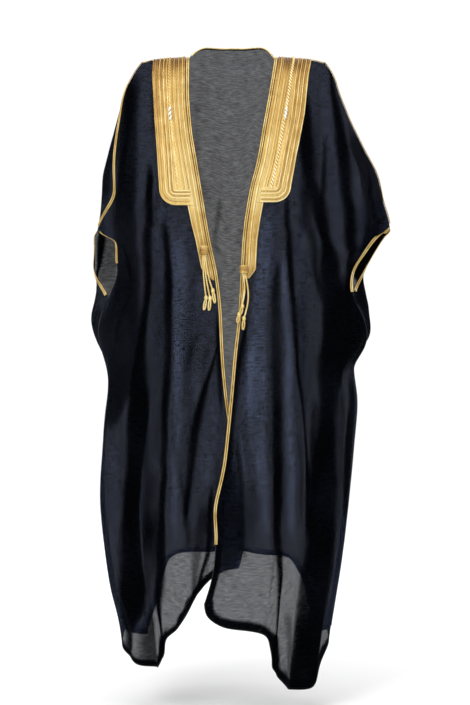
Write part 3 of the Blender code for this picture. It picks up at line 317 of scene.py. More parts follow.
# %% Folds of the wearer's left front
LEFT_FOLDS = (
    # a fold beside the chest band, darkened there by the band's painted shadow, then out under the
    # sleeve and down to the hem
    (((0.168, -0.07, 0.006), (0.170, -0.145, 0.011), (0.168, -0.214, 0.017),
      (0.175, -0.283, 0.014), (0.198, -0.352, 0.020), (0.214, -0.421, 0.019),
      (0.225, -0.49, 0.025), (0.234, -0.559, 0.030), (0.237, -0.628, 0.037),
      (0.240, -0.697, 0.044), (0.218, -0.766, 0.024), (0.216, -0.834, 0.022),
      (0.213, -0.903, 0.026), (0.206, -0.972, 0.033), (0.206, -1.041, 0.034),
      (0.210, -1.11, 0.046), (0.212, -1.18, 0.056), (0.196, -1.248, 0.052),
      (0.184, -1.294, 0.049), (0.176, -1.363, 0.046), (0.172, -1.46, 0.046)), -4.0, 1.00),
    (((0.158, -0.27, 0.010), (0.168, -0.352, 0.014), (0.178, -0.421, 0.016),
      (0.193, -0.49, 0.012), (0.206, -0.58, 0.008)), 0.0, 0.52),
    (((0.212, -0.17, 0.005), (0.207, -0.283, 0.006), (0.205, -0.36, 0.008)), -2.0, 0.60),
    (((0.192, -0.09, 0.008), (0.190, -0.30, 0.008)), 2.0, 0.12),
    (((0.210, -0.03, 0.014), (0.214, -0.145, 0.014), (0.228, -0.214, 0.009),
      (0.236, -0.283, 0.008), (0.242, -0.352, 0.009), (0.247, -0.421, 0.010),
      (0.2555, -0.49, 0.005), (0.258, -0.53, 0.004)), 4.0, -0.10),
    # from the shoulder to the wrist
    (((0.225, 0.00, 0.006), (0.231, -0.076, 0.009), (0.245, -0.145, 0.014),
      (0.254, -0.214, 0.017), (0.258, -0.283, 0.014), (0.2645, -0.352, 0.013),
      (0.275, -0.421, 0.015), (0.273, -0.49, 0.015), (0.265, -0.56, 0.020),
      (0.262, -0.63, 0.030)), -4.0, 1.00),
    (((0.270, -0.14, 0.020), (0.290, -0.214, 0.030), (0.313, -0.283, 0.032),
      (0.328, -0.352, 0.038), (0.318, -0.421, 0.030), (0.300, -0.50, 0.020)), 0.0, 0.50),
    (((0.276, -0.20, 0.004), (0.2885, -0.283, 0.006), (0.2905, -0.352, 0.006),
      (0.295, -0.421, 0.006), (0.300, -0.48, 0.004)), 2.0, -0.12),
    (((0.310, -0.24, 0.004), (0.322, -0.36, 0.006)), -1.5, 0.25),
    (((0.285, -0.48, 0.040), (0.285, -0.56, 0.080), (0.285, -0.66, 0.080),
      (0.268, -0.74, 0.040)), 0.0, 0.90),
    # a thin dark fold that leans outwards all the way down
    (((0.120, -0.30, 0.005), (0.1255, -0.39, 0.006), (0.1275, -0.421, 0.0068),
      (0.131, -0.49, 0.0068), (0.137, -0.559, 0.0065), (0.1425, -0.628, 0.0072),
      (0.146, -0.697, 0.0065), (0.156, -0.766, 0.0065), (0.1625, -0.834, 0.006),
      (0.170, -0.903, 0.007), (0.172, -0.972, 0.014), (0.174, -1.041, 0.015),
      (0.174, -1.12, 0.014)), -3.5, 0.98),
    (((0.152, -0.84, 0.010), (0.156, -0.972, 0.010), (0.154, -1.09, 0.009)), 1.5, 0.30),
    (((0.186, -0.77, 0.014), (0.184, -0.90, 0.015), (0.180, -1.02, 0.014)), 0.0, 0.60),
    (((0.160, -0.52, 0.016), (0.175, -0.70, 0.014), (0.180, -0.80, 0.010)), 2.0, 0.08),
    (((0.252, -0.75, 0.014), (0.250, -0.834, 0.014), (0.250, -0.93, 0.014),
      (0.250, -1.02, 0.012)), 2.0, 0.22),
    (((0.242, -0.92, 0.012), (0.242, -1.02, 0.014), (0.244, -1.12, 0.010)), 0.0, 0.30),
    (((0.276, -0.72, 0.020), (0.272, -0.834, 0.022), (0.268, -0.903, 0.022),
      (0.262, -1.00, 0.018), (0.256, -1.12, 0.010)), 0.0, 0.85),
    # the lit ridge between two folds
    (((0.110, -0.43, 0.008), (0.1165, -0.49, 0.008), (0.1175, -0.559, 0.011),
      (0.1235, -0.628, 0.010), (0.1265, -0.697, 0.012), (0.1265, -0.766, 0.012),
      (0.1255, -0.834, 0.012), (0.131, -0.903, 0.013), (0.132, -0.972, 0.014),
      (0.131, -1.041, 0.015), (0.134, -1.12, 0.014)), 4.0, -0.40),
    (((0.104, -0.45, 0.005), (0.096, -0.559, 0.010), (0.098, -0.628, 0.012),
      (0.100, -0.697, 0.012), (0.100, -0.766, 0.010), (0.101, -0.834, 0.010),
      (0.1005, -0.903, 0.011), (0.1015, -0.972, 0.011), (0.1015, -1.041, 0.010),
      (0.1035, -1.11, 0.0095), (0.1035, -1.18, 0.009), (0.102, -1.248, 0.009),
      (0.099, -1.294, 0.009), (0.0965, -1.34, 0.009), (0.0965, -1.42, 0.008)), -4.0, 0.55),
    (((0.102, -0.76, 0.006), (0.102, -0.834, 0.009), (0.101, -0.972, 0.010),
      (0.1035, -1.18, 0.009), (0.099, -1.294, 0.009), (0.0965, -1.42, 0.008)), -2.0, 0.45),
    # the smooth part beside the front edge
    (((0.075, -0.33, 0.022), (0.070, -0.49, 0.018), (0.060, -0.559, 0.020),
      (0.055, -0.63, 0.022), (0.058, -0.70, 0.022), (0.058, -0.77, 0.026),
      (0.052, -0.834, 0.024), (0.062, -0.93, 0.018), (0.072, -0.99, 0.014),
      (0.075, -1.04, 0.012), (0.076, -1.12, 0.014)), 3.0, -0.36),
    (((0.040, -0.64, 0.012), (0.030, -0.76, 0.014), (0.028, -0.84, 0.010)), 0.0, -0.42),
    (((0.048, -0.80, 0.004), (0.047, -0.92, 0.005)), -1.0, 0.16),
    (((0.030, -0.58, 0.004), (0.026, -0.64, 0.005), (0.012, -0.697, 0.008),
      (0.006, -0.766, 0.009), (-0.002, -0.834, 0.007), (-0.009, -0.903, 0.009),
      (-0.022, -0.972, 0.009), (-0.030, -1.041, 0.014), (-0.035, -1.13, 0.014)), -2.0, 0.85),
    (((-0.012, -0.90, 0.006), (0.000, -0.972, 0.012), (-0.006, -1.041, 0.020),
      (-0.008, -1.11, 0.026), (-0.016, -1.15, 0.026), (-0.030, -1.195, 0.016)), 0.0, 0.55),
    (((0.004, -0.85, 0.003), (0.014, -0.93, 0.005), (0.020, -0.985, 0.007),
      (0.021, -1.041, 0.011), (0.021, -1.11, 0.012), (0.020, -1.16, 0.010)), -2.0, 0.55),
    (((0.016, -0.84, 0.002), (0.024, -0.93, 0.003), (0.032, -1.00, 0.004)), 1.0, -0.35),
    (((0.040, -0.94, 0.010), (0.045, -1.041, 0.012), (0.042, -1.13, 0.012)), 0.0, 0.28),
    (((0.128, -1.24, 0.022), (0.132, -1.46, 0.026)), 0.0, 0.28),
)

# %% Folds of the back
BACK_FOLDS = (
    (((-0.236, -0.07, 0.012), (-0.252, -0.40, 0.015)), -3.0, 0.45),
    (((-0.196, -0.05, 0.011), (-0.205, -0.54, 0.013)), 4.0, -0.06),
    (((-0.160, -0.09, 0.006), (-0.172, -0.76, 0.009)), -3.5, 0.36),
    (((-0.128, -0.19, 0.012), (-0.132, -1.14, 0.016)), 4.0, -0.06),
    (((-0.094, -0.25, 0.006), (-0.104, -0.96, 0.008)), -3.0, 0.26),
    (((-0.062, -0.13, 0.010), (-0.070, -1.18, 0.014)), 3.5, 0.00),
    (((-0.034, -0.29, 0.006), (-0.036, -1.06, 0.008)), -3.0, 0.18),
    (((-0.004, -0.21, 0.009), (0.004, -1.19, 0.013)), 3.5, 0.00),
    (((0.030, -0.35, 0.006), (0.026, -1.12, 0.008)), -3.5, 0.18),
    (((0.060, -0.17, 0.011), (0.066, -1.18, 0.015)), 4.0, 0.00),
    (((0.094, -0.27, 0.007), (0.098, -1.00, 0.009)), -3.0, 0.26),
    (((0.126, -0.09, 0.011), (0.132, -1.16, 0.013)), 4.0, -0.06),
    (((0.160, -0.13, 0.007), (0.170, -0.86, 0.009)), -3.5, 0.36),
    (((0.200, -0.05, 0.011), (0.212, -0.62, 0.013)), 4.0, 0.00),
    (((0.240, -0.09, 0.012), (0.276, -0.44, 0.015)), -3.0, 0.45),
    (((-0.232, -0.56, 0.012), (-0.226, -1.20, 0.020)), -4.0, 0.36),
    (((-0.196, -0.70, 0.009), (-0.190, -1.20, 0.012)), 3.0, 0.00),
    (((0.226, -0.58, 0.014), (0.214, -1.18, 0.022)), -4.0, 0.36),
    (((0.186, -0.74, 0.009), (0.178, -1.18, 0.012)), 3.0, 0.00),
    # the sides that show from the front, beyond the braid and below the slits
    (((-0.285, -0.15, 0.030), (-0.300, -0.25, 0.040), (-0.310, -0.36, 0.040)), 0.0, 0.55),
    (((-0.310, -0.52, 0.040), (-0.320, -0.62, 0.060), (-0.300, -0.74, 0.040)), 0.0, 0.42),
    (((-0.306, -0.34, 0.014), (-0.310, -0.43, 0.016), (-0.313, -0.50, 0.010),
      (-0.310, -0.60, 0.006)), 0.0, 0.90),
    (((-0.285, -0.34, 0.030), (-0.285, -0.60, 0.030)), 0.0, 0.30),
    (((0.345, -0.30, 0.050), (0.330, -0.42, 0.055), (0.300, -0.60, 0.055)), 0.0, 0.95),
    (((0.300, -0.52, 0.050), (0.310, -0.62, 0.070), (0.290, -0.74, 0.040)), 0.0, 0.80),
)
FOLDS = {"front_right": RIGHT_FOLDS, "front_left": LEFT_FOLDS, "back": BACK_FOLDS}

# %% Distance from a fold's path
PATH_SOFTENING = 0.014  # how far a path's corners are rounded off
LEAST_SLOPE = 0.2       # sideways metres to a metre along the cloth, where it turns away
CROSSING_ROWS = 7       # rows above and below over which a path's crossing is averaged


def smoothstep(low, high, value):
    """Ease from 0 at low to 1 at high."""
    share = np.clip((value - low) / (high - low), 0.0, 1.0)
    return share * share * (3 - 2 * share)


def lengths_along(points, axis):
    """Distance from the first point along each line of a grid."""
    steps = np.linalg.norm(np.diff(points, axis=axis), axis=-1)
    pad = [(0, 0), (0, 0)]
    pad[axis] = (1, 0)
    return np.pad(np.cumsum(steps, axis=axis), pad)


def on_path(z, line, column):
    """A path's x or width at each height, with its corners rounded."""
    steps = np.linspace(-PATH_SOFTENING, PATH_SOFTENING, 5)
    return sum(np.interp(-(z + step), -line[:, 1], line[:, column]) for step in steps) / 5


def away_from(points, across, line):
    """Distance along the cloth, row by row, from where a path crosses the row."""
    off = points[..., 0] - on_path(points[..., 2], line, 0)
    near = np.abs(off).argmin(axis=0)
    rows = np.arange(points.shape[1])
    before = np.clip(near - 1, 0, None)
    after = np.clip(near + 1, None, points.shape[0] - 1)
    cell = across[after, rows] - across[before, rows]
    slope = (points[after, rows, 0] - points[before, rows, 0]) / cell
    slope = np.where(np.abs(slope) < LEAST_SLOPE, LEAST_SLOPE * np.sign(slope + 1e-9), slope)
    shift = np.clip(off[near, rows] / slope, -cell / 2, cell / 2)
    # Where the cloth turns away along a path, the crossing jumps from row to
    # row, so each row takes the mean of its neighbours' crossings.
    padded = np.pad(across[near, rows] - shift, CROSSING_ROWS, mode="edge")
    window = np.ones(2 * CROSSING_ROWS + 1) / (2 * CROSSING_ROWS + 1)
    return across - np.convolve(padded, window, mode="valid")


# %% Faint folds at random
FAINT_COUNT = {"front_right": 46, "front_left": 52, "back": 84}
FAINT_SEED = 11


def faint_folds(panel, points, across):
    """The distance from, and the fade, height and plies, with painted shade and light, of many
    faint folds.
    """
    random = np.random.default_rng(FAINT_SEED + len(panel))
    z = points[..., 2]
    for _ in range(FAINT_COUNT[panel]):
        start, drift = random.uniform(0.02, 0.98), random.normal(0.0, 0.03)
        top_z = -random.uniform(0.02, 1.10)
        low_z = top_z - random.uniform(0.10, 0.42)
        share = start + drift * (top_z - z) / 0.3
        wave = 0.006 * np.sin(z * random.uniform(9, 22) + random.uniform(0, 6))
        away = across - share * across[-1] + wave
        fade = smoothstep(0.0, 0.07, top_z - z) * (1 - smoothstep(-0.07, 0.0, low_z - z))
        yield away / random.uniform(0.0035, 0.0085), fade, random.uniform(-1.5, 1.5), \
            random.uniform(-0.10, 0.18)


# %% Press the folds in
FADE = 0.06             # metres over which a fold grows and dies away again
UNEVEN = 0.12           # how much a fold's strength varies on the way
EDGE_SOFTNESS = 0.005   # the shade of a narrow fold has soft sides, a wide one's are firm
# Folds that reach lower than this run on to the hem.
LOW_HEM_Z = {"front_right": -1.28, "front_left": -1.30, "back": -1.13}
SEAM_FADE = 0.014       # seams hold the cloth, so folds flatten out beside them


def fold_fade(panel, z, top_z, low_z):
    """Folds grow and die away, unevenly; those that reach the hem don't end."""
    fade = smoothstep(0.0, FADE, top_z - z)
    if low_z > LOW_HEM_Z[panel]:
        fade = fade * (1 - smoothstep(-FADE, 0.0, low_z - z))
    return fade * (1 - UNEVEN + UNEVEN * np.sin(27 * z + 60 * low_z))


def press_folds(panel, points, outward):
    """Move a panel's points in and out, and tell how gathered each is, with its painted shade and
    light.
    """
    across = lengths_along(points, 0)
    z = points[..., 2]
    height = np.zeros(z.shape)
    plies_and_shade = np.zeros(z.shape)
    for path, height_mm, gather_and_shade in FOLDS[panel]:
        line = np.array(path)
        away = away_from(points, across, line) / on_path(z, line, 2)
        fade = fold_fade(panel, z, line[0, 1], line[-1, 1])
        height += height_mm / 1000 * fade * np.exp(-away ** 2)
        edge = np.clip(on_path(z, line, 2) / EDGE_SOFTNESS, 2.5, 6.0)
        plies_and_shade += gather_and_shade * fade * np.exp(-np.abs(away) ** edge)
    for away, fade, height_mm, gather_and_shade in faint_folds(panel, points, across):
        height += height_mm / 1000 * fade * np.exp(-away ** 2)
        plies_and_shade += gather_and_shade * fade * np.exp(-away ** 2)
    held = smoothstep(0.0, SEAM_FADE, across[-1] - across)
    if panel == "back":
        held = held * smoothstep(0.0, SEAM_FADE, across)
    held = held * smoothstep(0.0, SEAM_FADE, lengths_along(points, 1))
    return points + grid_normals(points, outward) * (height * held)[..., None], plies_and_shade


fine = {}
gathered_and_shaded = {}
for panel, points in smooth.items():
    fine[panel], gathered_and_shaded[panel] = press_folds(panel, points, OUTWARD[panel])
normals = {panel: grid_normals(fine[panel], OUTWARD[panel]) for panel in fine}
print("folds pressed:", {panel: len(FOLDS[panel]) for panel in fine})

# %% Turned hems
HEM_TURN = {"front_right": 0.014, "front_left": 0.021, "back": 0.013}
EDGE_TURN = 0.014       # width of the front edge that is folded in, below the braid
HEM_PLIES = 0.90
EDGE_BRAID_END_Z = -1.11    # the front edges have braid down to here, and are bare below
PLIES_AND_SHADE_RANGE = (-0.45, 1.0)


def from_border(points, border):
    """How far each point of a panel lies from the nearest point of one of its borders."""
    tree = KDTree(len(border))
    for k, spot in enumerate(border):
        tree.insert(spot, k)
    tree.balance()
    away = [tree.find(point)[2] for point in points.reshape(-1, 3)]
    return np.array(away).reshape(points.shape[:2])


for panel, points in fine.items():
    away = from_border(points, points[:, -1]) / HEM_TURN[panel]
    if panel != "back":
        rows = np.nonzero(points[0, :, 2] < EDGE_BRAID_END_Z)[0]
        away = np.minimum(away, from_border(points, points[0, rows]) / EDGE_TURN)
    turned = 1 - smoothstep(0.85, 1.12, away)
    gathered_and_shaded[panel] = np.clip(gathered_and_shaded[panel] + HEM_PLIES * turned, *PLIES_AND_SHADE_RANGE)
print("hems turned")

# %% [markdown]
# ## From a grid to cloth
#
# A UV map in metres tells the weave where it is on the cut cloth, so its ribs
# follow every fold. The open sheet then gets its small real thickness from a
# Solidify modifier. A second attribute, `plies_and_shade`, marks the gathered
# folds, where more of the sheer cloth lies in the way, and carries the painted
# shade of the folds and the painted light of lit ridges.

# %% Turn a grid into an object
CLOTH_THICK = 0.0006


def linked(name, data):
    """A new object in the scene with this mesh, lamp or camera."""
    made = bpy.data.objects.new(name, data)
    bpy.context.scene.collection.objects.link(made)
    return made


def grid_quads(columns, rows):
    """The four corners of every facet of a grid, as point numbers."""
    index = np.arange(columns * rows).reshape(columns, rows)
    quads = np.stack([index[:-1, :-1], index[1:, :-1], index[1:, 1:], index[:-1, 1:]], axis=-1)
    return quads.reshape(-1, 4)


def grid_object(name, points, outward, plies_and_shade=None, ground=None):
    """A smooth sheet facing outward. Its UV map, in metres, is measured on the ground under it."""
    columns, rows = points.shape[:2]
    quads = grid_quads(columns, rows)
    middle = points[(columns - 1) // 2:, (rows - 1) // 2:]
    facing = np.cross(middle[1, 0] - middle[0, 0], middle[0, 1] - middle[0, 0])
    if np.dot(facing, outward) < 0:
        quads = quads[:, ::-1]
    mesh = bpy.data.meshes.new(name)
    mesh.from_pydata(points.reshape(-1, 3).tolist(), [], quads.tolist())
    mesh.shade_smooth()
    ground = points if ground is None else ground
    cut = np.stack([lengths_along(ground, 0), lengths_along(ground, 1)], axis=-1).reshape(-1, 2)
    layer = mesh.uv_layers.new(name="cut")
    layer.uv.foreach_set("vector", cut[quads.reshape(-1)].astype(np.float32).ravel())
    if plies_and_shade is not None:
        spot = mesh.attributes.new("plies_and_shade", "FLOAT", "POINT")
        spot.data.foreach_set("value", plies_and_shade.astype(np.float32).ravel())
    return linked(name, mesh)


def thicken(piece, thickness):
    """Give a sheet its thickness, inwards from the side that shows."""
    wall = piece.modifiers.new("thickness", "SOLIDIFY")
    wall.thickness = thickness
    wall.offset = -1
    wall.use_even_offset = False


def made_plain(piece):
    """Keep what a piece's modifier makes as its plain mesh, without the modifier."""
    graph = bpy.context.evaluated_depsgraph_get()
    mesh = bpy.data.meshes.new_from_object(piece.evaluated_get(graph))
    piece.modifiers.clear()
    piece.data = mesh
    return piece


# %% [markdown]
# ## Small helpers for node trees
#
# Both materials and Geometry Nodes are graphs of nodes. `add` makes one node
# and fills its inputs: a value is typed in, and another node's socket is
# linked. The rest are short names for the small groups of nodes that nearly
# every finish here needs: noise, even waves, a colour ramp and fine relief.

# %% Node helpers
def add(tree, kind, inputs=None, **settings):
    """A new node with its settings made and its inputs filled or linked."""
    made = tree.nodes.new(kind)
    for key, value in settings.items():
        setattr(made, key, value)
    for key, value in (inputs or {}).items():
        if isinstance(value, bpy.types.NodeSocket):
            tree.links.new(value, made.inputs[key])
        else:
            made.inputs[key].default_value = value
    return made


def maths(tree, operation, a, b=0.0, c=0.0, clamp=False):
    """The result of one Math node."""
    made = add(tree, "ShaderNodeMath", {0: a, 1: b, 2: c}, operation=operation)
    made.use_clamp = clamp
    return made.outputs[0]


def scaled(tree, vector, factor):
    """A vector, or a colour, times a number."""
    made = add(tree, "ShaderNodeVectorMath", {0: vector, "Scale": factor}, operation="SCALE")
    return made.outputs[0]


def noise(tree, place, scale, detail, roughness=0.5):
    """A smooth noise at a place, near 0.5."""
    return add(tree, "ShaderNodeTexNoise", {"Vector": place, "Scale": scale, "Detail": detail,
                                            "Roughness": roughness}).outputs["Fac"]


def wave(tree, turns, operation="SINE", swing=0.5):
    """A wave from 0 to 1 of an angle; a swing below 0 starts it from the other end."""
    return maths(tree, "MULTIPLY_ADD", maths(tree, operation, turns), swing, 0.5)


# %% Material helpers
def principled(name, **sockets):
    """A new material: its tree and its Principled shader, with constant sockets set."""
    made = bpy.data.materials.new(name)
    made.use_nodes = True
    tree = made.node_tree
    shader = tree.nodes["Principled BSDF"]
    for key, value in sockets.items():
        shader.inputs[key.replace("_", " ")].default_value = value
    return made, tree, shader


def ramp(tree, factor, stops):
    """A colour ramp through (place, colour) stops."""
    stops = list(stops)
    made = add(tree, "ShaderNodeValToRGB", {0: factor})
    elements = made.color_ramp.elements
    while len(elements) < len(stops):
        elements.new(0.5)
    for element, (place, colour) in zip(elements, stops):
        element.position = place
        element.color = (*colour, 1.0)
    return made.outputs["Color"]


def dented(tree, shader, height, strength, distance):
    """Give a material fine relief from a height."""
    bump = add(tree, "ShaderNodeBump", {"Height": height, "Strength": strength,
                                        "Distance": distance})
    tree.links.new(bump.outputs[0], shader.inputs["Normal"])


def object_place(tree):
    """Where a point lies in the finished cloak."""
    return add(tree, "ShaderNodeTexCoord").outputs["Object"]


def cut_place(tree):
    """Where a point lies on the cut cloth: both, then across and down it, in metres."""
    cut = add(tree, "ShaderNodeUVMap", uv_map="cut").outputs[0]
    parts = add(tree, "ShaderNodeSeparateXYZ", {0: cut}).outputs
    return cut, parts[0], parts[1]


def stretched(tree, across, down, across_size, down_size):
    """A place counted in grains of this size, for noise that runs along a thread."""
    return add(tree, "ShaderNodeCombineXYZ", {
        0: maths(tree, "DIVIDE", across, across_size),
        1: maths(tree, "DIVIDE", down, down_size)}).outputs[0]


# %% [markdown]
# ## The sheer cloth
#
# Bisht cloth is a fine wool voile. Its cross threads vary in thickness, which
# shows as faint ribs and longer, thicker slubs that run across the cloth, and
# the warp threads that run down it vary a little too. We make them from the UV
# map: a fine wave for the ribs, and for slubs and warp a noise that is
# stretched far along the thread. They change the colour a little, the relief a
# little, and above all how much light comes through.

# %% Cloth material
RIB_PITCH = 0.0026              # metres from rib to rib
SLUB_SIZE = (0.017, 0.0032)     # a slub's length across the cloth and its thickness
WARP_SIZE = (0.0030, 0.020)     # a thick stretch of warp thread: thickness, length down
CLOUD_SCALE = 42.0
THREAD_SHARES = {"slub": 0.65, "warp": 0.25, "rib": 0.10}
NAVY_BLACK = (0.0012, 0.0016, 0.0030)
NAVY_LIT = (0.0176, 0.0226, 0.0392)
FACE_ALPHA = 0.680      # how much of the light one face of the cloth stops
RIB_ALPHA = 0.04
SLUB_ALPHA = 0.44
CLOUD_ALPHA = 0.12
PLY_ALPHA = 0.36        # gathered cloth stops more light, and so does a fold with painted shade
PLY_PAINTED_SHADE = 0.055       # painted shade: the colour keeps this share for each ply, and grows lighter, as painted light, below 0
WEAVE_DEPTH = 0.0006


def thread_parts(tree):
    """The cloth's slubs, warp and ribs, and the broad clouds in its thickness."""
    cut, across, down = cut_place(tree)
    slub = noise(tree, stretched(tree, across, down, *SLUB_SIZE), 1.0, 3.0, 0.6)
    warp = noise(tree, stretched(tree, across, down, *WARP_SIZE), 1.0, 2.0, 0.6)
    rib = wave(tree, maths(tree, "MULTIPLY", down, 2 * math.pi / RIB_PITCH))
    return slub, warp, rib, noise(tree, cut, CLOUD_SCALE, 3.0)


def cloth_material():
    """Sheer, ribbed, blue-black voile."""
    made, tree, shader = principled(
        "sheer_voile", Roughness=0.80, Sheen_Weight=0.005, Sheen_Roughness=0.45,
        Sheen_Tint=(0.45, 0.58, 1.00, 1.0), Specular_IOR_Level=0.01)
    slub, warp, rib, cloud = thread_parts(tree)
    plies_and_shade = add(tree, "ShaderNodeAttribute", attribute_name="plies_and_shade").outputs["Fac"]
    mix = maths(tree, "MULTIPLY_ADD", slub, THREAD_SHARES["slub"],
                maths(tree, "MULTIPLY", rib, THREAD_SHARES["rib"]))
    mix = maths(tree, "MULTIPLY_ADD", warp, THREAD_SHARES["warp"], mix)
    colour = ramp(tree, mix, ((0.41, NAVY_BLACK), (0.56, NAVY_LIT)))
    # painted shade in the folds, and painted light on lit ridges, from plies_and_shade
    colour = scaled(tree, colour, maths(tree, "POWER", PLY_PAINTED_SHADE, plies_and_shade))
    tree.links.new(colour, shader.inputs["Base Color"])
    alpha = maths(tree, "MULTIPLY_ADD", rib, RIB_ALPHA, FACE_ALPHA - RIB_ALPHA / 2)
    for part, strength in ((slub, SLUB_ALPHA), (cloud, CLOUD_ALPHA)):
        swing = maths(tree, "MULTIPLY_ADD", part, strength, -strength / 2)
        alpha = maths(tree, "ADD", alpha, swing)
    gathers_and_shade = maths(tree, "MAXIMUM", plies_and_shade, 0.0)
    alpha = maths(tree, "MULTIPLY_ADD", gathers_and_shade, PLY_ALPHA, alpha, clamp=True)
    tree.links.new(alpha, shader.inputs["Alpha"])
    height = maths(tree, "ADD", maths(tree, "MULTIPLY", rib, 0.4), slub)
    dented(tree, shader, height, 0.35, WEAVE_DEPTH)
    return made


voile = cloth_material()
print("cloth lets through", round((1 - FACE_ALPHA) ** 2, 3), "of the light, a ply")

# %% [markdown]
# ## The three panels
#
# A bisht is cut with hardly any shaping: a back and two fronts, each in one
# with its arm. Each panel's cloth takes the place of its solid, and its width,
# length and area, as draped, are printed.


def cloth_panel(panel):
    """One panel of cloth, in place of its solid."""
    piece = grid_object("cloth_" + panel, fine[panel], OUTWARD[panel], gathered_and_shaded[panel])
    piece.data.materials.append(voile)
    thicken(piece, CLOTH_THICK)
    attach(piece, "root")
    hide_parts(panel)
    return piece


cloth = {panel: cloth_panel(panel) for panel in fine}
for panel in cloth:
    across = lengths_along(fine[panel], 0)[-1]
    down = lengths_along(fine[panel], 1)[:, -1]
    area = sum(face.area for face in cloth[panel].data.polygons)
    print(panel, "across", across.min().round(2), across.max().round(2),
          "down", down.min().round(2), down.max().round(2), "area", round(area, 3))


# %% [markdown]
# ## Paths that lie on the cloth
#
# Everything that is sewn on follows a path over a panel. Two kinds are needed.
# A border path follows an edge of the grid. A drawn path is given as seen from
# the front, and each of its points is pushed back along a ray until it meets
# the cloth. Both end up as evenly spaced points with the cloth's own normals.

# %% Points on the front, found by rays
RAY_START = -0.6        # y, far enough in front of the cloak
RAY_NEAR = -0.12        # y, from where the nearest cloth is sought if a ray misses
SEAM_MARGIN = 0.0008    # this close to the shoulder seam, the seam itself is used
SEAM_BLEND = 0.05       # heights are measured from the seam down to here


def ray_target(panel):
    """A searchable copy of a panel and the normal of each of its facets."""
    points = fine[panel]
    quads = grid_quads(*points.shape[:2])
    flat = normals[panel].reshape(-1, 3)
    tree = BVHTree.FromPolygons(points.reshape(-1, 3).tolist(), quads.tolist())
    return tree, flat[quads].mean(axis=1)


targets = {side: ray_target("front_" + side) for side in SIDES}


def on_front(side, x, z):
    """The point of a front panel seen at (x, z) from the front, and its normal."""
    tree, facing = targets[side]
    seam = fine["front_" + side][:, 0]
    order = np.argsort(seam[:, 0])
    seam_z = np.interp(x, seam[order, 0], seam[order, 2])
    z = z + seam_z * (1 - smoothstep(0.0, SEAM_BLEND, -z))
    if z > seam_z - SEAM_MARGIN:
        spot = [np.interp(x, seam[order, 0], seam[order, k]) for k in range(3)]
        place = np.clip(np.searchsorted(seam[order, 0], x), 0, len(order) - 1)
        return np.array(spot), normals["front_" + side][order[place], 0]
    spot, _, index, _ = tree.ray_cast(Vector((x, RAY_START, z)), -FRONT)
    if spot is None:
        spot, _, index, _ = tree.find_nearest(Vector((x, RAY_NEAR, z)))
    return np.array(spot), facing[index]


# %% Evenly spaced paths
def even_path(points, ups, step):
    """The path's points and normals again, one every step metres or so."""
    points = np.asarray(points, float)
    ups = np.asarray(ups, float)
    steps = np.linalg.norm(np.diff(points, axis=0), axis=1)
    along = np.concatenate([[0.0], np.cumsum(steps)])
    count = max(2, round(along[-1] / step) + 1)
    places = np.linspace(0.0, along[-1], count)
    points = np.stack([np.interp(places, along, points[:, k]) for k in range(3)], axis=1)
    ups = np.stack([np.interp(places, along, ups[:, k]) for k in range(3)], axis=1)
    ways = np.gradient(points, axis=0)
    ways /= np.linalg.norm(ways, axis=1, keepdims=True)
    ups -= ways * np.sum(ups * ways, axis=1, keepdims=True)
    ups /= np.linalg.norm(ups, axis=1, keepdims=True)
    return {"points": points, "ups": ups, "ways": ways, "along": places}


def lifted(path, height, sideways=0.0):
    """A path moved out from the cloth and sideways over it."""
    across = np.cross(path["ups"], path["ways"])
    points = path["points"] + path["ups"] * height + across * sideways
    return {**path, "points": points}


def drawn_path(side, places, step, lift=0.0):
    """A path on a front panel through (x, z) places, as seen from the front."""
    spots = [on_front(side, x, z) for x, z in places]
    path = even_path([spot for spot, _ in spots], [way for _, way in spots], step)
    return lifted(path, lift)


# %% [markdown]
# ## Geometry Nodes for cords and plaits
#
# A cord is two or three strands that wind round each other, and a flat plait
# is three strands that swing from side to side. Both are the same rule: each
# strand's sideways swing is a sine of the distance along the path, and its
# rise is another sine. In a cord the two have the same beat, a quarter turn
# apart. In a plait the rise beats twice as fast. So one tree makes them all.

# %% Parts that both trees need
def new_tree(name, inputs):
    """A Geometry Nodes tree with named inputs, and its input and output nodes."""
    tree = bpy.data.node_groups.new(name, "GeometryNodeTree")
    shape = "NodeSocketGeometry"
    tree.interface.new_socket("Path", in_out="INPUT", socket_type=shape)
    for label, kind in inputs:
        tree.interface.new_socket(label, in_out="INPUT", socket_type="NodeSocket" + kind)
    tree.interface.new_socket("Made", in_out="OUTPUT", socket_type=shape)
    return tree, tree.nodes.new("NodeGroupInput").outputs, tree.nodes.new("NodeGroupOutput")


def path_vector(tree, name):
    """A direction stored on the path's points."""
    return add(tree, "GeometryNodeInputNamedAttribute", {0: name},
               data_type="FLOAT_VECTOR").outputs[0]


def finish_tree(tree, shape, given, end):
    """Every tree ends by making its instances real and giving them a material."""
    real = add(tree, "GeometryNodeRealizeInstances", {0: shape}).outputs[0]
    dressed = add(tree, "GeometryNodeSetMaterial", {0: real, "Material": given["Material"]})
    tree.links.new(dressed.outputs[0], end.inputs[0])


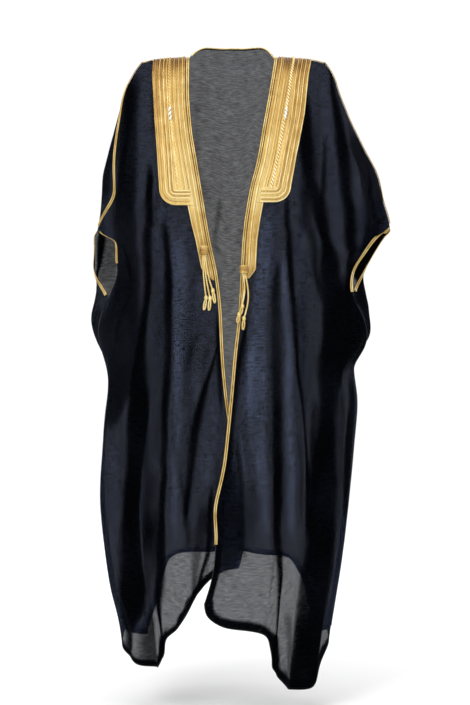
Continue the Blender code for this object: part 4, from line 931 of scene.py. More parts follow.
# %% The tree for strands
def strands_tree():
    """Strands that wind or plait along a path."""
    tree, given, end = new_tree("strands", (
        ("Strands", "Int"), ("Strand radius", "Float"), ("Swing", "Float"), ("Rise", "Float"),
        ("Turn length", "Float"), ("Rise beat", "Float"), ("Rise shift", "Float"),
        ("Sides", "Int"), ("Material", "Material")))
    curve = add(tree, "GeometryNodeMeshToCurve", {0: given["Path"]}).outputs[0]
    copies = add(tree, "GeometryNodeDuplicateElements", domain="SPLINE")
    tree.links.new(curve, copies.inputs["Geometry"])
    tree.links.new(given["Strands"], copies.inputs["Amount"])
    along = add(tree, "GeometryNodeInputNamedAttribute", {0: "along"}, data_type="FLOAT")
    turn = maths(tree, "DIVIDE", along.outputs[0], given["Turn length"])
    share = maths(tree, "DIVIDE", copies.outputs["Duplicate Index"], given["Strands"])
    angle = maths(tree, "MULTIPLY", maths(tree, "ADD", turn, share), 2 * math.pi)
    swing = maths(tree, "MULTIPLY", maths(tree, "SINE", angle), given["Swing"])
    beat = maths(tree, "MULTIPLY_ADD", angle, given["Rise beat"], given["Rise shift"])
    rise = maths(tree, "MULTIPLY", maths(tree, "SINE", beat), given["Rise"])
    moved = add(tree, "ShaderNodeVectorMath", {0: scaled(tree, path_vector(tree, "across"), swing),
                                               1: scaled(tree, path_vector(tree, "up"), rise)})
    placed = add(tree, "GeometryNodeSetPosition", {"Geometry": copies.outputs["Geometry"],
                                                   "Offset": moved.outputs[0]})
    circle = add(tree, "GeometryNodeCurvePrimitiveCircle", {"Resolution": given["Sides"],
                                                            "Radius": given["Strand radius"]})
    tube = add(tree, "GeometryNodeCurveToMesh", {"Curve": placed.outputs[0],
                                                 "Profile Curve": circle.outputs[0],
                                                 "Fill Caps": True})
    soft = add(tree, "GeometryNodeSetShadeSmooth", {"Geometry": tube.outputs[0]})
    finish_tree(tree, soft.outputs[0], given, end)
    return tree


# %% [markdown]
# ## Geometry Nodes for stitches
#
# A stitch is a short, fat bit of thread that lies on the cloth. The second
# tree puts one on every point of a path, turned to the path and then slanted.
# With `Alternate` at 1 every other stitch slants the other way, which makes a
# zigzag.

# %% The tree for stitches
def stitches_tree():
    """One short stitch at every point of a path."""
    tree, given, end = new_tree("stitches", (
        ("Length", "Float"), ("Radius", "Float"), ("Slant", "Float"), ("Alternate", "Float"),
        ("Material", "Material")))
    bead = add(tree, "GeometryNodeMeshUVSphere", {"Segments": 6, "Rings": 5, "Radius": 1.0})
    soft = add(tree, "GeometryNodeSetShadeSmooth", {"Geometry": bead.outputs[0]})
    half = maths(tree, "MULTIPLY", given["Length"], 0.5)
    size = add(tree, "ShaderNodeCombineXYZ", {0: half, 1: given["Radius"], 2: given["Radius"]})
    frame_turn = add(tree, "FunctionNodeAxesToRotation", {0: path_vector(tree, "up"),
                                                          1: path_vector(tree, "way")},
                     primary_axis="Z", secondary_axis="X")
    odd = maths(tree, "FLOORED_MODULO", add(tree, "GeometryNodeInputIndex").outputs[0], 2.0)
    flip = maths(tree, "MULTIPLY_ADD", maths(tree, "MULTIPLY", odd, given["Alternate"]), -2.0, 1.0)
    slant = maths(tree, "MULTIPLY", given["Slant"], flip)
    tilt = add(tree, "FunctionNodeAxisAngleToRotation", {"Axis": (0, 0, 1), "Angle": slant})
    turned = add(tree, "FunctionNodeRotateRotation", {0: frame_turn.outputs[0],
                                                      1: tilt.outputs[0]},
                 rotation_space="LOCAL")
    points = add(tree, "GeometryNodeInstanceOnPoints", {"Points": given["Path"],
                                                        "Instance": soft.outputs[0],
                                                        "Rotation": turned.outputs[0],
                                                        "Scale": size.outputs[0]})
    finish_tree(tree, points.outputs[0], given, end)
    return tree


STRANDS = strands_tree()
STITCHES = stitches_tree()
print("trees:", STRANDS.name, STITCHES.name)

# %% [markdown]
# ## Running a tree
#
# The paths become a mesh of points and edges that carries the directions the
# trees ask for. The modifier's inputs are set by the sockets' identifiers,
# the result is turned into a plain mesh, and the modifier is gone again.

# %% Run a tree over paths
PATH_LABELS = ("up", "way", "across", "along")


def path_mesh(name, paths):
    """All paths as one mesh of points and edges with their directions."""
    points = np.concatenate([path["points"] for path in paths])
    edges = []
    first = 0
    for path in paths:
        count = len(path["points"])
        edges += [(first + k, first + k + 1) for k in range(count - 1)]
        first += count
    mesh = bpy.data.meshes.new(name)
    mesh.from_pydata(points.tolist(), edges, [])
    ups = np.concatenate([path["ups"] for path in paths])
    ways = np.concatenate([path["ways"] for path in paths])
    for label, values in (("up", ups), ("way", ways), ("across", np.cross(ups, ways))):
        stored = mesh.attributes.new(label, "FLOAT_VECTOR", "POINT")
        stored.data.foreach_set("vector", values.astype(np.float32).ravel())
    stored = mesh.attributes.new("along", "FLOAT", "POINT")
    along = np.concatenate([path["along"] for path in paths])
    stored.data.foreach_set("value", along.astype(np.float32))
    return mesh


def grown(name, tree, paths, values, material):
    """The plain mesh that a tree makes from paths, as an object."""
    made = linked(name, path_mesh(name, paths))
    modifier = made.modifiers.new("grow", "NODES")
    modifier.node_group = tree
    for item in tree.interface.items_tree:
        if item.item_type == "SOCKET" and item.in_out == "INPUT" and item.name in values:
            modifier[item.identifier] = values[item.name]
        elif item.name == "Material":
            modifier[item.identifier] = material
    attributes = made_plain(made).data.attributes
    for label in PATH_LABELS:
        if label in attributes:
            attributes.remove(attributes[label])
    return made


def sewn_on(piece, slot, *nodes):
    """Hang a piece on the root and hide the solids it stands for; the slot is not used."""
    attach(piece, "root")
    if nodes:
        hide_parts(*nodes)
    return piece


# %% [markdown]
# ## Gold thread
#
# The gold work is metal thread wound on a yellow core. It isn't a mirror: its
# many tiny windings scatter the light, so it is half metal and fairly rough.
# A fine noise across the winding varies the colour from dark honey in the
# gaps to pale gold on the crowns. Lighter and darker shades of one recipe
# serve the bands, the braids and the cords, and a silver one the small bars.
# The gold of the bands is darker and browner at the shoulder, and palest near the foot, where
# painted light makes it lighter.

# %% Gold materials
SHOULDER_DEPTH = 0.07       # the bands are duller this far down from the shoulder
SHOULDER_EASE = 1.6
SHOULDER_DARKENING = 0.36
PALE_TOP = 0.14         # and paler, as painted light, from here down to their rounded foot
PALE_RISE = 0.17
PAINTED_LIGHT_SHARE = 0.17
FOOT_DEPTH = 0.335      # below the foot the narrow bands are plain gold again
FOOT_BLEND = 0.03
FOOT_LOSS = 0.8


def height_tone(tree):
    """How near the shoulder a height is, and how much lighter or darker the gold is there: darker
    near the shoulder, lighter lower down as painted light.
    """
    height = add(tree, "ShaderNodeSeparateXYZ", {0: object_place(tree)}).outputs[2]
    near_shoulder = maths(tree, "MULTIPLY_ADD", height, 1 / SHOULDER_DEPTH, 1.0, clamp=True)
    near_shoulder = maths(tree, "POWER", near_shoulder, SHOULDER_EASE)
    rise = maths(tree, "MULTIPLY_ADD", height, -1 / PALE_RISE, -PALE_TOP / PALE_RISE, clamp=True)
    below = maths(tree, "MULTIPLY_ADD", height, -1 / FOOT_BLEND, -FOOT_DEPTH / FOOT_BLEND,
                  clamp=True)
    pale = maths(tree, "MULTIPLY_ADD", below, -FOOT_LOSS, rise)
    shift = maths(tree, "MULTIPLY", pale, PAINTED_LIGHT_SHARE)
    return near_shoulder, maths(tree, "MULTIPLY_ADD", near_shoulder, -SHOULDER_DARKENING, shift)


def gold_material(name, tones, roughness, metal, winding=0.0011, height_tone_share=0.0):
    """Wound gold thread in three tones, dark to light, with its winding as fine relief."""
    made, tree, shader = principled(name, Metallic=metal, Specular_IOR_Level=0.5)
    place = object_place(tree)
    grain = noise(tree, place, 1 / winding, 2.0, 0.6)
    tone = maths(tree, "MULTIPLY_ADD", noise(tree, place, 38.0, 3.0), 0.6,
                 maths(tree, "MULTIPLY", grain, 0.4))
    if height_tone_share:
        tone = maths(tree, "MULTIPLY_ADD", height_tone(tree)[1], height_tone_share, tone)
    colour = ramp(tree, tone, zip((0.36, 0.50, 0.64), tones))
    tree.links.new(colour, shader.inputs["Base Color"])
    rough = maths(tree, "MULTIPLY_ADD", grain, 0.24, roughness - 0.12)
    tree.links.new(rough, shader.inputs["Roughness"])
    dented(tree, shader, grain, 0.5, winding / 4)
    return made


BROWN_GOLD = (0.15, 0.070, 0.014)
HONEY = (0.36, 0.190, 0.040)
GOLD = (0.60, 0.385, 0.110)
PALE_GOLD = (0.76, 0.570, 0.205)
CREAM_GOLD = (0.88, 0.750, 0.400)
LIGHT_TONES = (GOLD, PALE_GOLD, CREAM_GOLD)
DEEP_TONES = (HONEY, GOLD, PALE_GOLD)
SHADE_GAP_TONES = ((0.24, 0.125, 0.026), (0.44, 0.25, 0.06), GOLD)
STITCH_TONES = (PALE_GOLD, CREAM_GOLD, (0.95, 0.87, 0.62))
TAPE_TONES = ((0.12, 0.060, 0.014), (0.24, 0.125, 0.028), (0.42, 0.24, 0.06))
SILVER_TONES = ((0.55, 0.55, 0.52), (0.80, 0.80, 0.76), (0.95, 0.95, 0.92))
gold_cord = gold_material("gold_cord", LIGHT_TONES, 0.42, 0.45)
gold_braid = gold_material("gold_braid", DEEP_TONES, 0.42, 0.50, 0.0010)
gold_dark = gold_material("gold_dark", (BROWN_GOLD, HONEY, GOLD), 0.50, 0.45, 0.0010)
band_cord = {
    "light": gold_material("band_cord_light", LIGHT_TONES, 0.42, 0.40, height_tone_share=0.9),
    "deep": gold_material("band_cord_deep", DEEP_TONES, 0.42, 0.45, height_tone_share=0.8),
    # the gap shade: thin dark cords between the lighter ones, painted shade for the grooves
    # between cords
    "gap": gold_material("band_cord_shade_gap", SHADE_GAP_TONES, 0.55, 0.45, height_tone_share=0.15),
}
stitch_cord = gold_material("stitch_cord", STITCH_TONES, 0.40, 0.30, height_tone_share=0.6)
tape_gold = gold_material("tape_gold", TAPE_TONES, 0.60, 0.40, 0.0010)
silver = gold_material("silver_thread", SILVER_TONES, 0.35, 0.5, 0.0010)
print("gold shades mixed:", 6 + len(band_cord))

# %% [markdown]
# ## The couched ground of the bands
#
# The broad bands are covered with rows of gold thread, laid side by side and
# tied down. We draw each row as a low ridge in the mesh, from a sine across
# the band, and darken the gaps in the material with the same UV map.

# %% Band material
ROW_PITCH = 0.0030      # metres from one laid row of thread to the next
ROW_WOBBLE = 0.0012
TIE_PITCH = 0.0022      # and from one tying stitch to the next
STREAK_SIZE = (1 / 160, 1 / 9)      # grains of brighter and duller thread, across and down
STRIPE_SIZE = (1 / 75, 1 / 1.2)     # broader stripes that run nearly the whole way
TONE_SHARES = {"row": 0.20, "streak": 0.34, "stripe": 0.36, "tie": 0.06}
GROOVE_WIDTH = 0.0021   # the gap between a band and the edging beside it, dark with painted shade
# painted shade in the groove beside the edging
GROOVE_PAINTED_SHADE = 0.42
STAIN_START = 0.008     # where the worn shoulder end is brown, measured across the band
STAIN_PITCH = 0.0285
STAIN_END = 0.065
STAIN_SHADE = 0.26
SIDE_SHADE = 2.2        # how much darker the gold gets for each metre across
SIDE_MIDDLE = 0.034


def row_parts(tree):
    """The waves and noises of the laid thread: rows, tying stitches, streaks and stripes."""
    cut, across, down = cut_place(tree)
    shift = maths(tree, "MULTIPLY_ADD", noise(tree, cut, 30.0, 2.0), ROW_WOBBLE, -ROW_WOBBLE / 2)
    turns = maths(tree, "DIVIDE", maths(tree, "ADD", across, shift), ROW_PITCH)
    return {
        "row": wave(tree, maths(tree, "MULTIPLY", turns, 2 * math.pi), "COSINE"),
        "tie": wave(tree, maths(tree, "MULTIPLY", down, 2 * math.pi / TIE_PITCH)),
        "streak": noise(tree, stretched(tree, across, down, *STREAK_SIZE), 1.0, 3.0),
        "stripe": noise(tree, stretched(tree, across, down, *STRIPE_SIZE), 1.0, 1.0),
    }


def ground_shade(tree):
    """How much lighter or darker the ground is at a place: by height, with painted light lower
    down, by its stains, across the band, and by painted shade in its groove.
    """
    across = cut_place(tree)[1]
    near_shoulder, tone = height_tone(tree)
    turns = maths(tree, "MULTIPLY_ADD", across, 2 * math.pi / STAIN_PITCH,
                  -STAIN_START * 2 * math.pi / STAIN_PITCH)
    stain = maths(tree, "MULTIPLY", wave(tree, turns, "COSINE", -0.5), near_shoulder)
    stained = maths(tree, "LESS_THAN", across, STAIN_END)
    stain = maths(tree, "MULTIPLY", stain, stained)
    tone = maths(tree, "MULTIPLY_ADD", stain, -STAIN_SHADE, tone)
    aside = maths(tree, "MULTIPLY_ADD", across, -SIDE_SHADE, SIDE_SHADE * SIDE_MIDDLE)
    tone = maths(tree, "ADD", tone, aside)
    groove_shade = maths(tree, "LESS_THAN", across, GROOVE_WIDTH)
    return maths(tree, "MULTIPLY_ADD", groove_shade, -GROOVE_PAINTED_SHADE, tone)


# %% Put the ground's gold together
def band_material():
    """Rows of laid gold thread, with dark gaps and small tying stitches."""
    made, tree, shader = principled("couched_gold", Metallic=0.40, Specular_IOR_Level=0.5)
    parts = row_parts(tree)
    tone = ground_shade(tree)
    for part, share in TONE_SHARES.items():
        tone = maths(tree, "MULTIPLY_ADD", parts[part], share, tone)
    colour = ramp(tree, tone, ((0.16, BROWN_GOLD), (0.30, HONEY), (0.47, GOLD),
                               (0.66, PALE_GOLD), (0.86, CREAM_GOLD)))
    tree.links.new(colour, shader.inputs["Base Color"])
    rough = maths(tree, "MULTIPLY_ADD", parts["streak"], 0.2, 0.34)
    tree.links.new(rough, shader.inputs["Roughness"])
    height = maths(tree, "MULTIPLY_ADD", parts["tie"], 0.35, parts["row"])
    dented(tree, shader, height, 0.6, 0.0005)
    return made


couched_gold = band_material()

# %% [markdown]
# ## The outline of the bands
#
# Each broad band runs from the shoulder seam down the front edge and ends in a
# rounded corner. A narrow band carries on below it. Their outer edges are a
# few points from the front, and their inner edge keeps a small distance from
# the front edge of the cloth, so it is read from the panel itself.

# %% Band shapes
FRONT_GAP = 0.0097      # from the front edge to a band
CROWDED_STEPS = 6       # the first steps down from the shoulder are the crowded ones
CORNER_RADIUS = 0.038
BROAD_OUTER = {
    "right": ((-0.1840, 0.000), (-0.1855, -0.040), (-0.1780, -0.149), (-0.1720, -0.230),
              (-0.1650, -0.3425)),
    "left": ((0.1815, 0.000), (0.1740, -0.040), (0.1620, -0.137), (0.1450, -0.228),
             (0.1250, -0.3360)),
}
NARROW_OUTER = {
    "right": ((-0.1030, -0.3422), (-0.0940, -0.386), (-0.0850, -0.421), (-0.0720, -0.485),
              (-0.0460, -0.5125)),
    "left": ((0.0690, -0.3357), (0.0605, -0.386), (0.0555, -0.421), (0.0520, -0.488),
             (0.0370, -0.508)),
}
SIGN = {"right": -1.0, "left": 1.0}     # the wearer's left is at +X


def inner_x(side, z):
    """Where a band's inner edge lies at a height."""
    edge = fine["front_" + side][0]
    return np.interp(-z, -edge[:, 2], edge[:, 0]) + SIGN[side] * FRONT_GAP


def outer_x(outline, z):
    """Where a band's outer edge lies at a height."""
    line = np.asarray(outline, float)
    return np.interp(-z, -line[:, 1], line[:, 0])


def top_crowded(top_z, low_z, step):
    """Heights from top to bottom, crowded where the cloth turns over the shoulder."""
    count = round((top_z - low_z) / step)
    heights = np.linspace(top_z, low_z, count + 1)
    if top_z < -SEAM_MARGIN:
        return heights
    turn_over = top_z - np.linspace(0.0, 1.0, 9) ** 2 * CROWDED_STEPS * step
    return np.concatenate([turn_over, heights[heights < turn_over[-1] - step / 2]])


# %% [markdown]
# ## Laying the ground of a band
#
# The ground is a fine grid between the two edges. Near the foot, rows of a
# broad band are cut short by the rounded corner. Every point is found on the
# cloth by a ray and lifted by the band's thickness, plus the low ridges of the
# laid rows. The rim is folded down to the cloth, so the band looks solid from
# the side as well.

# %% Band grounds
BAND_LIFT = 0.0016      # how high the ground lies over the cloth
RIDGE_LIFT = 0.0007     # and the laid rows over that
GROUND_TOP = BAND_LIFT + RIDGE_LIFT
RIM_LIFT = 0.0003       # the rim of a band is pressed down to this
GROUND_SKIN = 0.0003
GROUND_STEP = 0.0052    # metres from row to row of the grid
CORNER_TURNS = 16
BAND_COLUMNS = {"broad": 120, "narrow": 48}


def band_field(side, outline, columns, corner):
    """The x and z of every point of a band's grid, as seen from the front."""
    top_z, foot_z = outline[0][1], outline[-1][1]
    heights = top_crowded(top_z, foot_z + corner, GROUND_STEP)
    cuts = np.zeros(len(heights))
    if corner:
        turns = np.linspace(0.0, math.pi / 2, CORNER_TURNS)[1:]
        heights = np.concatenate([heights, foot_z + corner * (1 - np.sin(turns))])
        cuts = np.concatenate([cuts, corner * (1 - np.cos(turns))])
    near = inner_x(side, heights)
    far = outer_x(outline, heights) - SIGN[side] * cuts
    shares = np.linspace(0.0, 1.0, columns + 1)
    x = near[None] + (far - near)[None] * shares[:, None]
    x = np.concatenate([x[:1] - SIGN[side] * GROOVE_WIDTH, x[:1] - SIGN[side] * RIM_LIFT, x])
    return x, np.broadcast_to(heights, x.shape)


def band_ground(name, side, outline, columns, corner, node):
    """The raised, ridged ground of one band, in place of its solid."""
    x, z = band_field(side, outline, columns, corner)
    spots = np.zeros((*x.shape, 3))
    ways = np.zeros((*x.shape, 3))
    for i, j in np.ndindex(x.shape):
        spots[i, j], ways[i, j] = on_front(side, x[i, j], z[i, j])
    distance = np.abs(x - x[0])
    ridges = 0.5 + 0.5 * np.cos(distance / ROW_PITCH * 2 * math.pi)
    height = BAND_LIFT + RIDGE_LIFT * ridges
    height[[0, 1, -1]] = RIM_LIFT
    foot_ends = np.abs(x[:, -1]) > abs(NARROW_OUTER[side][0][0]) if corner else slice(None)
    height[foot_ends, -1] = RIM_LIFT
    piece = grid_object(name, spots + ways * height[..., None], FRONT, ground=spots)
    piece.data.materials.append(couched_gold)
    thicken(piece, GROUND_SKIN)
    return sewn_on(piece, "gold_band", node)


for side in SIDES:
    broad = band_ground("chest_band_ground_" + side, side, BROAD_OUTER[side],
                        BAND_COLUMNS["broad"], CORNER_RADIUS, "chest_band_" + side)
    narrow = band_ground("placket_band_ground_" + side, side, NARROW_OUTER[side],
                         BAND_COLUMNS["narrow"], 0.0, "placket_band_" + side)
    print(side, "bands:", len(broad.data.polygons) + len(narrow.data.polygons), "facets")


# %% [markdown]
# ## Cords on the bands
#
# Thicker cords frame the ground. On a broad band some follow the outer edge
# from the shoulder, turn the rounded corner and run in along the foot, one
# inside the other. Others run straight down beside the inner edge.

# %% Cord paths on the bands
BAND_STEP = 0.0030      # metres from one drawn place to the next down a band
CORD_STEP = 0.0016      # and from one point of a cord to the next
# Distances from the outer edge of the cords that turn the corner, with radius and shade.
FRAME_CORDS = {
    "right": ((0.0018, 0.0016, "deep"), (0.0080, 0.0009, "gap"), (0.0115, 0.0012, "deep"),
              (0.0165, 0.0018, "light"), (0.0212, 0.0011, "gap"), (0.0255, 0.0018, "light"),
              (0.0295, 0.0009, "gap"), (0.0330, 0.0015, "light")),
    "left": ((0.0020, 0.0017, "light"), (0.0070, 0.0011, "gap"), (0.0112, 0.0016, "light"),
             (0.0160, 0.0012, "deep"), (0.0205, 0.0016, "light"), (0.0250, 0.0011, "gap"),
             (0.0292, 0.0014, "light")),
}
# Distances from the inner edge of the cords that run straight down.
STRAIGHT_CORDS = {
    "right": ((0.0022, 0.0016, "deep"), (0.0060, 0.0018, "light"), (0.0105, 0.0009, "deep"),
              (0.0150, 0.0015, "light"), (0.0195, 0.0009, "gap"), (0.0255, 0.0013, "light"),
              (0.0300, 0.0008, "deep"), (0.0438, 0.0008, "deep")),
    "left": ((0.0022, 0.0014, "deep"), (0.0080, 0.0019, "light"), (0.0125, 0.0012, "light"),
             (0.0168, 0.0009, "deep"), (0.0235, 0.0009, "deep"), (0.0290, 0.0009, "gap"),
             (0.0490, 0.0009, "gap")),
}
FOOT_STOP = 0.0360      # straight cords stop this far above the foot
FOOT_PASS = 0.0170      # except these near the inner edge, which run on below it
FOOT_REACH = 0.0060     # how far the frame runs in over the top of the narrow band
PASS_STOP = 0.0005


def frame_cord_places(side, outline, from_edge):
    """Down the outer edge, round the corner and in along the foot."""
    foot_z = outline[-1][1]
    heights = top_crowded(0.0, foot_z + CORNER_RADIUS, BAND_STEP)
    x = outer_x(outline, heights) - SIGN[side] * from_edge
    places = list(zip(x, heights))
    radius = CORNER_RADIUS - from_edge
    centre_x = x[-1] - SIGN[side] * radius
    for turn in np.linspace(0.0, math.pi / 2, 14)[1:]:
        places.append((centre_x + SIGN[side] * radius * math.cos(turn),
                       foot_z + CORNER_RADIUS - radius * math.sin(turn)))
    end_z = foot_z + from_edge
    end_x = NARROW_OUTER[side][0][0] - SIGN[side] * FOOT_REACH
    places += [(x, end_z) for x in np.linspace(places[-1][0], end_x, 8)[1:]]
    return places


def straight_cord_places(side, top_z, low_z, from_inner):
    """Down beside the inner edge of a band."""
    heights = top_crowded(top_z, low_z, BAND_STEP)
    return list(zip(inner_x(side, heights) + SIGN[side] * from_inner, heights))


# %% Make the band cords
TWIST = {"Strands": 2, "Rise beat": 1.0, "Rise shift": math.pi / 2, "Sides": 4}
SINGLE = {**TWIST, "Strands": 1, "Swing": 0.0, "Rise": 0.0, "Turn length": 0.01}
STRAND_SHARE = 0.62     # of a cord's radius, for each of its two strands
TURN_SHARE = 4.6        # radii from one turn of a cord to the next
SUNK_SHARE = 0.55       # a cord's middle lies this share of its radius above the ground


def twisted(name, paths, radius, material):
    """Two-strand cords of one radius along paths."""
    strand = radius * STRAND_SHARE
    values = {**TWIST, "Strand radius": strand, "Swing": radius - strand,
              "Rise": radius - strand, "Turn length": radius * TURN_SHARE}
    return grown(name, STRANDS, paths, values, material)


def joined(name, pieces):
    """Several fresh objects joined into one, by copying their meshes together."""
    whole = bmesh.new()
    materials = []
    for piece in pieces:
        before = len(whole.faces)
        whole.from_mesh(piece.data)
        whole.faces.ensure_lookup_table()
        for material in piece.data.materials:
            if material not in materials:
                materials.append(material)
        for face in whole.faces[before:]:
            face.material_index = materials.index(piece.data.materials[face.material_index])
        bpy.data.objects.remove(piece, do_unlink=True)
    mesh = bpy.data.meshes.new(name)
    whole.to_mesh(mesh)
    whole.free()
    for material in materials:
        mesh.materials.append(material)
    return linked(name, mesh)


def laid_cords(name, side, rows):
    """Twisted cords for rows of (places, radius, shade), laid on the band's ground."""
    made = []
    for radius, shade in sorted({row[1:] for row in rows}):
        lift = GROUND_TOP + radius * SUNK_SHARE
        paths = [drawn_path(side, row[0], CORD_STEP, lift) for row in rows
                 if row[1:] == (radius, shade)]
        made.append(twisted(f"{name}_{shade}_{radius}", paths, radius, band_cord[shade]))
    return sewn_on(joined(name, made), "gold_band")


for side in SIDES:
    foot_z = BROAD_OUTER[side][-1][1]
    rows = [(frame_cord_places(side, BROAD_OUTER[side], distance), radius, shade)
            for distance, radius, shade in FRAME_CORDS[side]]
    for distance, radius, shade in STRAIGHT_CORDS[side]:
        stop = PASS_STOP if distance < FOOT_PASS else FOOT_STOP
        rows.append((straight_cord_places(side, 0.0, foot_z + stop, distance), radius, shade))
    laid_cords("chest_band_cords_" + side, side, rows)
    print("cords on the", side, "chest band:", len(rows))


# %% [markdown]
# ## Cords on the narrow bands
#
# Below the broad bands the cords nearest the inner edge go on, with two more
# along the outer edge, down to the slanting end where the tassel hangs.

# %% Narrow band cords
NARROW_STOP = 0.006
END_MARGIN = 0.0040     # cords stop short of the slanting end
# Distances from the outer edge, with radius and shade.
NARROW_CORDS = ((0.0018, 0.0015, "light"), (0.0060, 0.0011, "deep"))
for side in SIDES:
    outline = NARROW_OUTER[side]
    top_z, low_z = outline[0][1], outline[-1][1]
    heights = np.linspace(top_z, low_z + NARROW_STOP, 60)
    near, far = inner_x(side, heights), outer_x(outline, heights)
    passing = [cord for cord in STRAIGHT_CORDS[side] if cord[0] < FOOT_PASS]
    rows = []
    for edge, way, cords in ((near, SIGN[side], passing), (far, -SIGN[side], NARROW_CORDS)):
        for distance, radius, shade in cords:
            inside = np.abs(far - near) > distance + END_MARGIN
            places = zip(edge[inside] + way * distance, heights[inside])
            rows.append((list(places), radius, shade))
    laid_cords("placket_band_cords_" + side, side, rows)
    print("cords on the", side, "narrow band:", len(rows))


# %% [markdown]
# ## The stitched columns
#
# Down the middle of each broad band runs a column of raised stitches. On the
# wearer's right it is a fine zigzag, and on the left a bold slanting satin
# stitch, like twisted rope. Three bars of silver thread near the top of each
# column are a plain finishing touch.

# %% Stitched columns
# The place across the band, then the stitches' step, length, radius and slant, and 1 for
# a zigzag.
COLUMNS = {
    "right": (0.49, 0.0042, 0.0088, 0.0011, 0.95, 1.0),
    "left": (0.46, 0.0078, 0.0120, 0.0020, 0.65, 0.0),
}
BED_RADIUS = {"right": 0.0046, "left": 0.0052}
BED_SHOWS = 0.0004      # how far the padding stands above the ground
BED_SIDES = 14
# The gold of the padding and of the stitches over it.
stitch_gold = {"right": (band_cord["deep"], band_cord["light"]),
               "left": (band_cord["gap"], stitch_cord)}
SILVER_Z = -0.134       # height of the middle one of the three silver bars
SILVER_STEP = {"right": 0.0104, "left": 0.0084}
SILVER_LENGTH = 0.0125
SILVER_RADIUS = 0.0031
SILVER_SLANT = 0.50
STITCH_SUNK = 0.4       # a stitch's middle lies this share of its radius above the padding
BAR_STEP = 0.002


def column_places(side, share, top_z, low_z, step):
    """Down a broad band at one share of its width."""
    heights = top_crowded(top_z, low_z, step)
    near = inner_x(side, heights)
    far = outer_x(BROAD_OUTER[side], heights)
    return list(zip(near + (far - near) * share, heights))


for side in SIDES:
    share, step, length, radius, slant, alternate = COLUMNS[side]
    low_z = BROAD_OUTER[side][-1][1] + FOOT_STOP
    places = column_places(side, share, 0.0, low_z, step)
    bed_gold, bright_gold = stitch_gold[side]
    values = {**SINGLE, "Strand radius": BED_RADIUS[side], "Sides": BED_SIDES}
    path = drawn_path(side, places, CORD_STEP, GROUND_TOP + BED_SHOWS - BED_RADIUS[side])
    sewn_on(grown("stitch_bed_" + side, STRANDS, [path], values, bed_gold), "gold_band")
    path = drawn_path(side, places, step, GROUND_TOP + BED_SHOWS + radius * STITCH_SUNK)
    values = {"Length": length, "Radius": radius, "Slant": slant * SIGN[side],
              "Alternate": alternate}
    sewn_on(grown("chest_band_stitches_" + side, STITCHES, [path], values, bright_gold),
            "gold_band")
    reach = SILVER_STEP[side]
    places = column_places(side, share, SILVER_Z + reach, SILVER_Z - reach, BAR_STEP)
    path = drawn_path(side, places, reach, GROUND_TOP + SILVER_RADIUS)
    values = {"Length": SILVER_LENGTH, "Radius": SILVER_RADIUS,
              "Slant": SILVER_SLANT * SIGN[side], "Alternate": 0.0}
    sewn_on(grown("silver_bars_" + side, STITCHES, [path], values, silver), "gold_band")
print("stitched columns made")

# %% [markdown]
# ## The edging braid
#
# A narrow tape of dark gold binds the front edges, shoulders, wrist slits and
# neck. Two bright flat plaits run along it, and the tape shows as a dark line
# between them. Its path is a border of the panel, moved in by half the braid's
# width. The tape is a low profile swept along the path, and the plaits come
# from the tree for strands.

# %% Braid builder
BRAID_HALF = 0.0035     # half the width of the tape
BRAID_INSET = 0.0006    # from the border of the cloth to the tape
TAPE_THICK = 0.0009
TAPE_SKIN = 0.00025
TAPE_LIFT = 0.0002
# From rim to rim: place and height, as shares of the half width and the thickness.
TAPE_PROFILE = ((-1.0, 0.1), (-0.94, 0.75), (-0.6, 1.0), (0.0, 1.05), (0.6, 1.0), (0.94, 0.75),
                (1.0, 0.1))
PLAIT = {"Strands": 3, "Strand radius": 0.00058, "Swing": 0.00070, "Rise": 0.00035,
         "Turn length": 0.0058, "Rise beat": 2.0, "Rise shift": 0.0, "Sides": 4}
PLAIT_ASIDE = 0.0022    # from the middle of the tape to the middle of a plait
PLAIT_LIFT = 0.0007


def tape(name, path, half_width, thick):
    """A flat strip along a path, rounded down to the cloth at its rims."""
    across = np.cross(path["ups"], path["ways"])
    lines = [path["points"] + across * (half_width * place)
             + path["ups"] * (thick * height + TAPE_LIFT) for place, height in TAPE_PROFILE]
    piece = grid_object(name, np.array(lines), path["ups"][len(path["ups"]) // 2])
    piece.data.materials.append(tape_gold)
    thicken(piece, TAPE_SKIN)
    return made_plain(piece)


def braid(name, path, half_width=BRAID_HALF):
    """A whole edging braid: a tape with two plaits on it."""
    scale = half_width / BRAID_HALF
    pieces = [tape(name + "_tape", path, half_width, TAPE_THICK)]
    sizes = {key: PLAIT[key] * scale for key in ("Strand radius", "Swing", "Rise", "Turn length")}
    lines = [lifted(path, TAPE_THICK + PLAIT_LIFT * scale, way * PLAIT_ASIDE * scale)
             for way in (-1, 1)]
    pieces.append(grown(name + "_plaits", STRANDS, lines, {**PLAIT, **sizes}, gold_cord))
    return joined(name, pieces)


# %% [markdown]
# ## Braids along the borders
#
# The border paths come straight from the fine grids: the front edge is a
# panel's first column, the shoulder seam its first row, and the arm seam and
# wrist slit its last column. The slit is where the front's and the back's last
# columns part.

# %% Border paths
BRAID_STEP = 0.00125
NECK_HALF = 0.00225     # half the width of the narrower braid round the neck
NAPE_RIM_RADIUS = 0.0016
NAPE_MARGIN = 0.001     # the nape's braid stops this far from the fronts
SEAM_LIFT = 0.0004
SEAM_START = 0.0015     # a shoulder's braid starts this far past the broad band
# The back's column at each arm edge, and the one two further in.
BACK_EDGE = {"right": (-1, -3), "left": (0, 2)}


def border_path(points, ways, inner, step, inset):
    """A path beside a border, moved in over the panel by inset."""
    aside = inner - points
    aside /= np.linalg.norm(aside, axis=1, keepdims=True)
    return even_path(points + aside * inset, ways, step)


